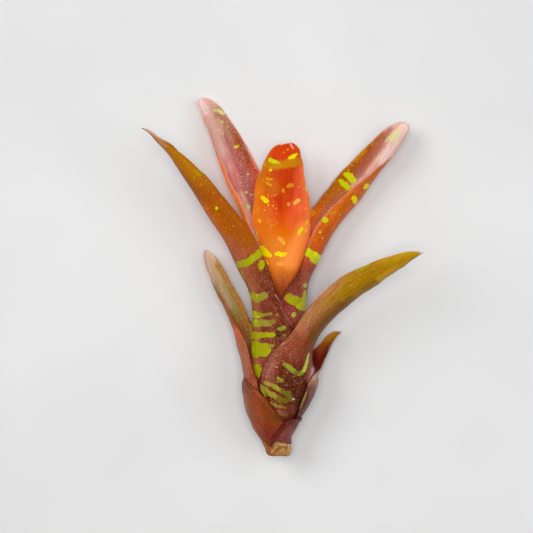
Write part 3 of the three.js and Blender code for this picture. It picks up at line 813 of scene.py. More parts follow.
# %% Mottling
mottle, given, gives = new_group(
    "soft_mottle",
    [("Strap", "NodeSocketVector", None), ("Colour", "NodeSocketColor", None),
     ("Other", "NodeSocketColor", None), ("Amount", "NodeSocketFloat", 0.3)],
    [("Colour", "NodeSocketColor")])
cloud = noise(mottle, stretched(mottle, given["Strap"], (0.3, 0.11, 1.0)), 3.0)
share = maths(mottle, "MULTIPLY", ease(mottle, cloud, 0.35, 0.7), given["Amount"])
shifted = blend_colour(mottle, share, given["Colour"], given["Other"])
grain = noise(mottle, stretched(mottle, given["Strap"], (1.4, 0.75, 1.0), 4.0), 4.0, 0.65)
swing = maths(mottle, "SUBTRACT", grain, 0.5)  # the noise swings about 0.5
swing = maths(mottle, "MULTIPLY", swing, given["Amount"])
lightness = maths(mottle, "MULTIPLY_ADD", swing, 3.4, 1.0)
mottle.links.new(scaled(mottle, shifted, lightness), gives["Colour"])
print("mottling group:", len(mottle.nodes), "nodes")

# %% [markdown]
# ## A leaf's material
# A leaf's skin is its painted colour, clouded by the mottling group and a little darker in the
# furrows between the veins. Every layer is one more blend on top, so each can be looked at and
# tuned by itself. What differs from place to place is read from the mesh's points.

# %% Skin
VEIN_SPACING = 1.0  # mm


def carried(tree, label, output="Fac"):
    """What the mesh's points carry under a name."""
    return add(tree, "ShaderNodeAttribute", attribute_name=label).outputs[output]


def skin(tree, strap, paint, other, mottling, vein):
    """The painted colour with clouds and veins, and the vein lines."""
    base = use_group(tree, mottle, {
        "Strap": strap, "Colour": carried(tree, paint, "Color"), "Other": (*PIGMENTS[other], 1),
        "Amount": mottling})[0]
    lines = use_group(tree, veins, {"Strap": strap, "Spacing": VEIN_SPACING})[0]
    return scaled(tree, base, ease(tree, lines, 0.0, 1.0, 1 - vein, 1 + 0.6 * vein)), lines


print("veins are", VEIN_SPACING, "mm apart")

# %% [markdown]
# Both faces show the bands, because a band goes right through the blade. The veins still shade
# them a little. Flecks and scales come from the dots group: the flecks are few and coloured, and
# the scales lie in two sizes. A particle system could strew real scales, but they are flat and
# well under a millimetre wide, so a mask is enough.

# %% Bands and dots
RAGGEDNESS = 0.35
SOFTNESS = 0.22  # mm to either side of a band's edge, over which it fades
FLECK = dict(count=0.7, radius=0.32)
SCALE_COUNTS = (1.15, 2.0)  # big ones and small ones, to the millimetre
SCALE_RADIUS = 0.38


def banded(tree, strap, base, lines):
    """The skin with its bands, and the bands' mask."""
    edge = use_group(tree, ragged, {
        "Depth": carried(tree, "band"), "Strap": strap, "Raggedness": RAGGEDNESS,
        "Softness": SOFTNESS})
    band = maths(tree, "MULTIPLY", edge["Mask"], carried(tree, "band_paint", "Alpha"))
    shade = ease(tree, lines, 0.0, 1.0, 0.9, 1.06)
    colour = scaled(tree, carried(tree, "band_paint", "Color"), shade)
    return blend_colour(tree, band, base, colour), band


def strewn(tree, strap, label, count, radius):
    return use_group(tree, dotted, {
        "Strap": strap, "Density": carried(tree, label), "Count": count, "Radius": radius})[0]


print("scales to the millimetre:", SCALE_COUNTS)

# %% [markdown]
# One function makes the material of one face. The outer face of a leaf is satin and strongly
# coloured. The inner face has more scales, so it is paler and more matt. Each margin has a thin
# line: dark on the tube, and on most blades pale. `glow` is a painted glow: the face gives back a
# part of its colour as light, in place of the light that comes through thin blades, and so lifts
# their shaded parts. It costs far less than tracing the light through the sheet, and the base
# colour is lowered to make up for it.

# %% Leaf material
FLECK_COVER = 0.8
SCALES_ON_BAND = 0.3  # how much of the scales is left there
MARGIN_ON_BAND = 0.5
BUMP_DEPTH = 0.07  # mm
GLOW_COST = 0.8  # how much of the glow is taken off the base colour


def leaf_face(name, paint, other, mottling=0.3, vein=0.14, scales="rose", dust=(0.42, 0.3),
              glow=0.0, rough=0.42, flecks="gold"):
    material = bpy.data.materials.new(name)
    material.use_nodes = True
    tree = material.node_tree
    shader = tree.nodes["Principled BSDF"]
    strap = add(tree, "ShaderNodeUVMap", uv_map="strap").outputs[0]
    base, lines = skin(tree, strap, paint, other, mottling, vein)
    base, band = banded(tree, strap, base, lines)

    spots = maths(tree, "MULTIPLY", strewn(tree, strap, "flecks", **FLECK), FLECK_COVER)
    base = blend_colour(tree, spots, base, (*PIGMENTS[flecks], 1))

    big, small = (
        maths(tree, "MULTIPLY", strength, strewn(tree, strap, "scurf", count, SCALE_RADIUS))
        for count, strength in zip(SCALE_COUNTS, dust))
    scaly = maths(tree, "MAXIMUM", big, small)
    scaly = maths(tree, "MULTIPLY", scaly, ease(tree, band, 0.0, 1.0, 1.0, SCALES_ON_BAND))
    base = blend_colour(tree, scaly, base, (*PIGMENTS[scales], 1))

    kept = ease(tree, band, 0.0, 1.0, 1.0, MARGIN_ON_BAND)
    rim = maths(tree, "MULTIPLY", carried(tree, "margin", "Alpha"), kept)
    base = blend_colour(tree, rim, base, carried(tree, "margin", "Color"))

    height = maths(tree, "MULTIPLY_ADD", scaly, 0.5, lines)
    bump = add(tree, "ShaderNodeBump", {
        "Height": height, "Strength": 0.5, "Distance": BUMP_DEPTH * MM})
    roughness = ease(tree, scaly, 0.0, 0.5, rough, min(1, rough + 0.3))
    tree.links.new(bump.outputs[0], shader.inputs["Normal"])
    tree.links.new(roughness, shader.inputs["Roughness"])
    shader.inputs["Specular IOR Level"].default_value = 0.3
    shader.inputs["Specular Tint"].default_value = (1, 0.5, 0.2, 1)
    # A painted glow: the face gives off part of its own colour as light.
    if glow:
        tree.links.new(base, shader.inputs["Emission Color"])
        shader.inputs["Emission Strength"].default_value = glow
        base = scaled(tree, base, 1 - GLOW_COST * glow)
    tree.links.new(base, shader.inputs["Base Color"])
    return material


print("leaf material ready")

# %% [markdown]
# ## Building a leaf
# A strap leaf is thick in the middle and thin at its margins and tip, and the margins of the
# blade carry tiny teeth. Both are worked out here, for every point of the grid. The teeth could
# be an array of small cones, but pulling out every third point of the margin looks the same at
# this size and keeps the sheet closed.

# %% Teeth and thickness
TIP_THICK = 0.3
BLADE_THICK = 0.75
TOOTH = 0.12  # the margin's tiny teeth
TEETH_EVERY = 3  # rows
TEETH_START = 4  # mm past the sheath
TEETH_WIDTH = 3  # mm of blade, so the very tip has none
BLADE_STOPS = (0, 20)  # mm past the sheath, from its thickness to the blade's
TIP_STOPS = (-2, 10)  # mm from the tip's end, from its thickness to the blade's


def teeth(points, past):
    width = np.linalg.norm(points[:, -1] - points[:, 0], axis=1)
    rows = np.flatnonzero((past > TEETH_START) & (width > TEETH_WIDTH))[::TEETH_EVERY]
    for margin, inside in ((0, 1), (-1, -2)):
        away = points[rows, margin] - points[rows, inside]
        away /= np.linalg.norm(away, axis=1)[:, None]
        points[rows, margin] += TOOTH * away
    return points


def thickness(points, past, leaf):
    edge = edge_distance(points)
    sheath = along(LAYER_PITCH, points[..., 1]) - LAYER_GAP
    free = soft_step(past, *BLADE_STOPS)[:, None]
    reach = past[-1] - past[:, None]
    middle = sheath + free * (BLADE_THICK - sheath)
    if "blade" not in leaf:
        edge = np.minimum(edge, leaf["left"][-1][0] - points[..., 1])
    middle = TIP_THICK + (middle - TIP_THICK) * soft_step(reach, *TIP_STOPS)
    return MARGIN_THICK + (middle - MARGIN_THICK) * soft_step(edge, 0, MARGIN_REACH)


print("a blade is", BLADE_THICK, "mm thick, and", MARGIN_THICK, "mm at its margins")

# %% [markdown]
# Paint, bands, scales and the margin's line ride on the mesh's points as attributes, and the
# `strap` map lays the leaf flat. Unwrapping in edit mode would stretch the tube, while the grid
# already knows how far along and across each of its points is.

# %% What the points carry
SHEATH_LINE = ("maroon", 0.85)  # the margin's line on the tube, and how strongly it covers
MARGIN_CHANGE = (15, 30)  # mm past the sheath, from that line to the blade's own
MARGIN_LINE = (0.15, 0.6)  # mm from the margin, from all to none
MAP_APART = 40  # mm between two leaves on the map, so no two have the same veins


def set_attribute(mesh, label, kind, values):
    field = "color" if kind == "FLOAT_COLOR" else "value"
    data = mesh.attributes.new(label, kind, "POINT").data
    data.foreach_set(field, np.ascontiguousarray(values, np.float32).ravel())


def with_alpha(colour):
    return np.concatenate([colour, np.ones((*colour.shape[:-1], 1))], -1)


def carry_bands(mesh, points, facing, marks, hidden):
    """How deep each point is in a band, and that band's colour, from the marks of both faces."""
    depth, tint = mark_depth(marks.get("outer", []), points, facing, hidden)
    inner_depth, inner_tint = mark_depth(marks.get("inner", []), points, ~facing, [])
    tint = np.where((inner_depth > depth)[:, None], inner_tint, tint)
    set_attribute(mesh, "band", "FLOAT", np.maximum(depth, inner_depth))
    set_attribute(mesh, "band_paint", "FLOAT_COLOR", tint)


def carry_margin(mesh, past, edge, blade_line):
    low, high = (np.array([*PIGMENTS[tint], cover]) for tint, cover in (SHEATH_LINE, blade_line))
    line = low + (high - low) * soft_step(past, *MARGIN_CHANGE)[:, None, None]
    line = np.broadcast_to(line, (*edge.shape, 4)).copy()
    line[..., 3] *= 1 - soft_step(edge, *MARGIN_LINE)
    set_attribute(mesh, "margin", "FLOAT_COLOR", line)


def lay_flat(mesh, past, edge, order):
    """The strap map of a leaf, in millimetres, beside those of the leaves before it."""
    across = np.broadcast_to(ACROSS * edge.max() + MAP_APART * order, edge.shape)
    strap = np.stack([across, np.broadcast_to(past[:, None], edge.shape)], -1).reshape(-1, 2)
    corner = np.zeros(len(mesh.loops), np.int32)
    mesh.loops.foreach_get("vertex_index", corner)
    mesh.uv_layers[0].name = "strap"
    mesh.uv_layers["strap"].data.foreach_set("uv", strap[corner].astype(np.float32).ravel())


print("the margin's line is", MARGIN_LINE[1], "mm wide")

# %% [markdown]
# The sheet comes from the grid primitive, and its points are moved onto the leaf's outer face.
# Extruding a strip by hand would give the same faces, but not in rows that fit the numbers.
# Solidify gives the thickness inward, as the vertex group says, and puts the second material on
# the inner face. What would come out below the table is pressed flat on it.

# %% Build a leaf
LEAF_SMOOTH = 50  # degrees, so the margins' edges stay crisp


def give_thickness(piece, thick):
    group = piece.vertex_groups.new(name="thickness")
    for index, weight in enumerate((thick / thick.max()).ravel()):
        group.add([index], float(weight), "REPLACE")
    solid = piece.modifiers.new("Thickness", "SOLIDIFY")
    solid.thickness = thick.max() * MM
    solid.offset = -1
    solid.vertex_group = "thickness"
    solid.material_offset = 1
    bpy.ops.object.modifier_apply(modifier="Thickness")
    for vertex in piece.data.vertices:
        vertex.co.z = max(vertex.co.z, 0)
    bpy.ops.object.shade_smooth_by_angle(angle=math.radians(LEAF_SMOOTH))
    print(piece.name, "is from", round(float(thick.min()), 2), "to", round(float(thick.max()), 2),
          "mm thick")


def build_leaf(name, paint, marks, hidden, scales, faces, flecks=(), high=("rose", 0.3)):
    points, past = outer[name]
    spots = seen(points)
    edge = edge_distance(points)
    facing = ((face_normals(points) * (EYE - points)).sum(-1) > 0).ravel()
    bpy.ops.object.select_all(action="DESELECT")
    bpy.ops.mesh.primitive_grid_add(
        x_subdivisions=COLUMNS - 1, y_subdivisions=len(points) - 1, size=1)
    piece = bpy.context.object
    piece.name = name + "_sheet"
    mesh = piece.data
    for face in ("outer", "inner"):
        stops, strokes = paint[face]
        colour = brush(ramp(stops, spots[..., 1]), strokes, spots)
        set_attribute(mesh, "paint_" + face, "FLOAT_COLOR", with_alpha(colour))
        mesh.materials.append(leaf_face(f"{name}_{face}", "paint_" + face, **faces[face]))
    carry_bands(mesh, points, facing, marks, hidden)
    set_attribute(mesh, "scurf", "FLOAT", dusting(scales[1], spots, scales[0]))
    set_attribute(mesh, "flecks", "FLOAT", dusting(flecks, spots, 0))
    carry_margin(mesh, past, edge, high)
    lay_flat(mesh, past, edge, list(LEAVES).index(name))
    placed = teeth(points.copy(), past)
    mesh.vertices.foreach_set("co", to_table(placed).astype(np.float32).ravel())
    give_thickness(piece, thickness(points, past, LEAVES[name]))
    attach(piece, "root")
    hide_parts(name)
    mesh.calc_loop_triangles()
    print(piece.name, "has", len(mesh.loop_triangles), "triangles")


print("ready to build", len(LEAVES), "leaves")

# %% [markdown]
# ## The long left leaf
# Its tube is wine red. Its clay-coloured left flank is painted light, a sand line on its left rim
# is a painted highlight, and a thin maroon line beside the front leaf is a painted shadow. It
# carries the plant's boldest bands: broad lime bars that run in from the left margin, brighter at
# their left ends and duller to the right, as painted light and shade. The blade turns to clear
# ochre. Only a pale sliver of its inner face shows along the upper edge, near the tip. Bars could
# come from a wave texture, but real ones are uneven and break off, so each is placed as a mark.

# %% Long left leaf
build_leaf(
    "leaf_left_tall",
    paint=dict(
        outer=([(20, "maroon"), (40, "wine"), (86, "wine"), (94, "chestnut"), (101, "rust"),
                (108, "ochre"), (132, "ochre"), (142, "amber"), (165, "amber")],
               # clay is painted light on the tube's lit left flank.
               [("clay", 0.95, 5.5, [(-22, 100), (-18, 92), (-14.5, 84), (-13.5, 75), (-13.5, 60),
                                     (-13, 45)]),
                ("shadow", 0.8, 6, [(0, 62), (5, 60), (7, 57)]),
                ("maroon", 0.8, 3, [(-6, 93), (-2, 83), (2, 75), (7, 64)]),
                ("maroon", 0.45, 6, [(-3, 84), (1, 74), (4, 65)]),
                ("rosewood", 0.65, 1.3, [(0.8, 75), (3.2, 70.6), (6.3, 65.6)]),
                # sand along the left rim is a painted highlight.
                ("sand", 0.7, 1.8, [(-15, 86), (-14, 78), (-14.2, 68), (-14.2, 58), (-13.8, 46)]),
                ("shadow", 0.7, 2.6, [(-3, 57), (0, 58.6), (5, 62)]),
                # This thin maroon line is a painted shadow beside the front leaf's margin.
                ("maroon", 0.75, 1.2,
                 [(8, 64.2), (3.2, 58.8), (-1.6, 55.6), (-4.6, 52), (-6.8, 48.6)]),
                ("tangerine", 0.45, 5, [(-38, 124), (-31, 115), (-26, 107)]),
                ("clay", 0.7, 5, [(-25, 107), (-20, 101)]),
                ("terracotta", 0.5, 3, [(-63.5, 159), (-67, 162)]),
                ("wheat", 0.3, 2.4, [(-59.6, 157.8), (-57, 155.8)]),
                ("rust", 0.5, 2.5, [(-62, 154), (-52, 144), (-44, 134)])]),
        inner=([(80, "mauve"), (130, "ochre"), (156, "amber"), (160, "wheat"), (165, "shale")],
               [])),
    marks=dict(outer=[
        ("lime", 1, [(-20.7, 95.7, 1.7), (-15.7, 97, 1.8), (-9.7, 101.5, 1.8)]),
        ("lime", 0.95, [(-8.8, 96.6, 1.6), (-9.3, 94.8, 1.5)]),
        ("lime", 0.9, [(-19, 92.6, 0.7), (-18, 89.8, 0.6), (-17.2, 87, 0.4)]),
        # On the bars, chartreuse and acid at the left ends are painted light on the lit flank, and
        # olive and moss toward the right ends are painted shade.
        ("lime", 0.85, [(-14.2, 80, 2), (-11, 78.6, 2.1)]),
        ("olive", 0.85, [(-10.6, 78.8, 1.9), (-7.2, 80.4, 1.7)]),
        ("chartreuse", 0.95, [(-14.6, 80, 2), (-13.2, 79.6, 1.9)]),
        ("acid", 0.85, [(-13, 79.5, 1.9), (-11.6, 79, 1.9)]),
        ("lime", 0.85, [(-12.7, 70.7, 1.6), (-9, 70.5, 1.3)]),
        ("olive", 0.7, [(-8.6, 70.4, 1.3), (-4.4, 71.2, 0.8)]),
        ("chartreuse", 0.85, [(-14.6, 70.7, 1.9), (-12.8, 70.6, 1.7)]),
        ("acid", 0.85, [(-12.6, 70.6, 1.7), (-11.2, 70.6, 1.6)]),
        ("chartreuse", 0.8, [(-14.6, 66.4, 2.1), (-13.2, 66.4, 2)]),
        ("acid", 0.85, [(-13.4, 66.4, 2), (-11.8, 66.4, 1.8)]),
        ("chartreuse", 0.8, [(-14.8, 60.5, 2), (-13.8, 60.5, 1.9)]),
        ("acid", 0.85, [(-13.4, 60.5, 1.8), (-12.4, 60.5, 1.7)]),
        ("chartreuse", 0.7, [(-14.8, 54.8, 2.3), (-14, 52.8, 2.3)]),
        ("acid", 0.7, [(-13.8, 54.6, 2.4), (-13, 52.8, 2.5)]),
        ("leaf_green", 0.6, [(-1.2, 70.8, 0.8)]),
        ("lime", 0.9, [(-12.7, 66.4, 1.9), (-9.4, 66.5, 1.8)]),
        ("olive", 0.85, [(-9.2, 66.5, 1.8), (-5.6, 66.8, 1.6)]),
        ("moss", 0.85, [(-5.2, 66.9, 1.6), (-3.2, 67.1, 1.3)]),
        ("leaf_green", 0.85, [(-0.3, 63.3, 1.2), (2.8, 64.4, 1.3)]),
        ("lime", 1, [(-14, 60.5, 1.7), (-3.5, 60.5, 1.3)]),
        ("leaf_green", 0.8, [(2.3, 60.2, 0.8)]),
        ("wheat", 0.6, [(-2.4, 81, 0.3), (0.4, 77.2, 0.45), (3.4, 72.6, 0.3)]),
        ("lime", 1, [(-12.6, 54.9, 2.5), (-11.8, 51.5, 2.9)]),
        ("lime", 1, [(-11, 54.2, 2.2), (-7, 54.8, 1.7)]),
        ("olive", 0.85, [(-7, 54.8, 1.7), (-6, 55, 1.5)]),
        ("moss", 0.9, [(-6, 54.8, 1.5), (-4.8, 55.1, 1.2)]),
        ("olive", 0.8, [(-4.4, 55.2, 1), (-2.8, 55.5, 0.8)]),
        ("lime", 1, [(-9, 51.5, 2.5), (-6.5, 53, 2.2)]),
        ("lime", 1, [(-11.4, 44.6, 2.4), (-10.6, 39.5, 0.8)]),
        ("lime", 0.9, [(-13, 45.5, 0.9)]),
        ("lime", 0.35, [(-47.2, 145.5, 0.7)]), ("lime", 0.4, [(-42.7, 143, 0.6)]),
        ("lime", 0.4, [(-41.2, 142, 1.3), (-40, 140.5, 1)]), ("lime", 0.35, [(-42.7, 139, 0.7)]),
        ("lime", 0.6, [(-33.7, 134.5, 0.5)]), ("lime", 0.6, [(-33.2, 131.5, 0.7)]),
        ("lime", 0.9, [(-29.2, 128, 0.7)]), ("acid", 0.9, [(-31.2, 124, 1.1)]),
        ("gold", 0.6, [(-33.7, 119.5, 0.6), (-31.5, 117, 0.5)]), ("gold", 0.9, [(-26.7, 114, 0.7)]),
        ("gold", 0.6, [(-24.7, 111.5, 0.6)]), ("gold", 0.6, [(-23.7, 110, 0.5)]),
        ("gold", 0.6, [(-25.2, 108.5, 0.6)]), ("moss", 0.5, [(-15.2, 103, 0.5)])]),
    hidden=back_bands(*outer["leaf_left_tall"], "lime", 9, seed=11),
    scales=(0.06, [(0.5, 14, [(-12, 95), (-6, 80), (-2, 60), (-8, 40)]),
                   (0.6, 5, [(0, 76), (3.5, 66), (0, 58)])]),
    faces=dict(outer=dict(other="rust", mottling=0.35, scales="wheat", dust=(0.4, 0.3),
                          flecks="sun"),
               inner=dict(other="amber", rough=0.55)),
    flecks=[(0.5, 8, [(-54, 152), (-40, 140), (-34, 130)]), (0.35, 8, [(-34, 130), (-22, 106)]),
            (0.8, 3, [(-41, 128), (-34, 118), (-25, 104)])],
    high=("rust", 0.15))

# %% [markdown]
# ## The rolled leaf in the middle
# The youngest leaf is still rolled, and the light comes through it, so it is the brightest:
# flame red in the middle, tangerine on the left, coral and peach on the right. The strokes along
# its sides are partly painted light, which keeps its rolled margins bright. Its bands are still
# small yellow flecks, put where they are seen. It gets a strong painted glow, because lights
# alone leave a rolled leaf dull on the side that they don't reach.

# %% Centre leaf
build_leaf(
    "leaf_centre",
    paint=dict(
        outer=([(60, "maroon"), (79, "wine"), (84, "chestnut"), (87, "rust"), (91, "copper"),
                (96, "pumpkin"), (106, "pumpkin"), (111, "tangerine"), (118, "fire"),
                (127, "scarlet"), (135, "flame"), (143, "flame"), (150, "scarlet"),
                (157, "scarlet")],
               [("flame", 0.75, 8, [(3, 143), (3, 135), (2, 127)]),
                ("pumpkin", 0.5, 7, [(-8, 122), (-7, 110)]),
                # The side strokes that follow, tangerine and orange on the left, melon and peach on
                # the right and pumpkin low on the left, are partly painted light that keeps the
                # rolled margins bright.
                ("tangerine", 1, 8, [(-9, 156), (-11, 146), (-13, 132)]),
                ("orange", 1, 8, [(-13, 132), (-14, 122), (-12, 110)]),
                ("coral", 0.7, 5, [(11, 142), (10.8, 132), (10, 125)]),
                ("coral", 0.35, 6, [(8, 124), (7, 117)]),
                ("melon", 0.5, 3.5, [(11.5, 124), (11.5, 117)]),
                ("melon", 1, 5, [(13.5, 146), (14.5, 134), (16, 122), (15, 112)]),
                ("peach", 0.9, 7, [(13, 113), (10, 104), (6, 98)]),
                ("pumpkin", 0.6, 5, [(-9, 106), (-5, 100)]),
                ("gold", 0.75, 3.2, [(-9, 145.5), (-3, 145), (3, 146), (11, 147.5)]),
                ("gold", 0.3, 6, [(-8, 138), (-3, 134)]),
                ("fire", 0.6, 3, [(8, 154), (9.5, 152.5)]),
                ("tangerine", 0.4, 2.5, [(10.5, 151), (11.5, 147)]),
                ("cream", 0.9, 0.7, [(0.8, 156), (4, 157)]),
                ("rose", 0.95, 0.55, [(5.2, 156.5), (6, 155), (6.8, 153.8)])]),
        inner=([(60, "mauve"), (100, "coral"), (157, "coral")],
               [("cream", 0.8, 2.5, [(1, 156), (6, 156)])])),
    marks=dict(outer=[
        ("acid", 1, [(-4.4, 148.2, 1.3), (-3.2, 147, 1.3), (0.2, 146.7, 0.5)]),
        ("yellow", 1, [(5.2, 149.2, 1), (7, 150, 1.2), (8.7, 150.9, 0.7)]),
        ("gold", 0.7, [(-6, 145.2, 1), (-2, 145, 1.6), (3, 146, 1.8), (9, 147, 2)]),
        ("sun", 0.8, [(2.2, 151.7, 0.6)]), ("sun", 0.9, [(4.1, 153.2, 0.7)]),
        ("yellow", 0.8, [(-4.7, 143, 1.2)]), ("yellow", 0.5, [(-7.5, 145.6, 0.6)]),
        ("sun", 0.7, [(-6.5, 138.6, 0.9), (-3.9, 138.2, 0.8)]),
        ("sun", 0.7, [(-6, 136.2, 0.9), (-4.4, 135.4, 0.9)]),
        ("sun", 0.6, [(3.9, 134.9, 0.9), (6.6, 135.5, 1)]),
        ("sun", 0.9, [(1.6, 133.2, 0.8), (1.9, 131.9, 0.7)]), ("sun", 0.5, [(-1.2, 131, 0.6)]),
        ("sun", 0.5, [(-5.7, 130.5, 0.8)]), ("peach", 0.7, [(9.7, 134.5, 0.7)]),
        ("gold", 0.4, [(-0.2, 129, 0.5)]), ("yellow", 0.9, [(12.2, 139, 0.5)]),
        ("yellow", 0.9, [(13.2, 134.5, 0.5), (13.4, 133, 0.5)]),
        ("yellow", 0.95, [(-8.7, 129, 1), (-7.5, 128, 1.4), (-5.8, 127.2, 1)]),
        ("yellow", 0.9, [(-5.5, 125.5, 0.7)]), ("butter", 0.35, [(-3.2, 125, 0.8)]),
        ("butter", 0.35, [(4.7, 126, 1.2)]), ("butter", 0.85, [(7.5, 126.5, 0.8), (9.5, 128, 1.3)]),
        ("butter", 0.3, [(-8.7, 121.5, 0.6)]), ("butter", 0.4, [(-10.7, 123.5, 0.7)]),
        ("yellow", 0.9, [(-10.4, 118, 0.6), (-9.6, 117, 0.7)]),
        ("yellow", 0.9, [(13.7, 117.5, 0.5), (13.6, 116, 0.5)]),
        ("yellow", 0.9, [(13.2, 113.5, 0.5), (13.2, 112, 0.5)]),
        ("yellow", 0.9, [(11.2, 114, 1.1), (9.7, 111, 0.9)]), ("butter", 0.4, [(-9.7, 112.5, 0.6)]),
        ("yellow", 1, [(-12, 112, 0.8), (-11.2, 108.5, 0.9)]),
        ("butter", 0.45, [(-0.4, 108.6, 1.2), (1.4, 108, 1.2)]),
        ("yellow", 0.6, [(2.2, 106.5, 0.8)]),
        ("yellow", 1, [(-9.4, 103.8, 1.6), (-6.7, 101.5, 1.9), (-4.7, 100.3, 1.1)]),
        ("yellow", 0.95, [(-1.2, 101, 1.1), (1, 100.8, 1.4), (2.8, 101, 1)]),
        ("yellow", 0.9, [(-6.5, 97.5, 0.6), (-5.8, 96, 0.6)]),
        ("butter", 0.35, [(-1, 96.2, 1.2), (1.8, 95.8, 1.1)])]),
    hidden=back_bands(*outer["leaf_centre"], "gold", 4, seed=12),
    scales=(0, [(0.1, 6, [(0, 90), (2, 84)])]),
    flecks=[(0.06, 12, [(4, 136), (4, 108)]), (0.55, 8, [(-9, 144), (-6, 132), (-7, 118)]),
            (0.8, 3, [(-11, 138), (-13, 122), (-11, 108)]),
            (0.7, 3, [(12, 142), (15, 126), (14, 110)])],
    high=("butter", 0.35),
    faces=dict(outer=dict(other="orange", mottling=0.15, vein=0.05, glow=0.3, rough=0.36,
                          flecks="butter"),
               inner=dict(other="rose", dust=(0.4, 0.4), rough=0.5)))

# %% [markdown]
# ## The broad right leaf
# Its inner face turns to the viewer: pale rose at the tip and along the lower margin, brown and
# brick toward the tube. The rose along the lower margin is partly bloom and partly a painted
# highlight, and a painted glow lifts the inner face where the centre leaf shades it. The outer
# face shows below it, ochre above and wine red on the tube, with clear yellow-green bands. A clay
# stroke on the tube's right flank and the brighter right ends of the bands are painted light. The
# two faces are painted apart, because one paint for both would bring the inner rose to the outer
# side.

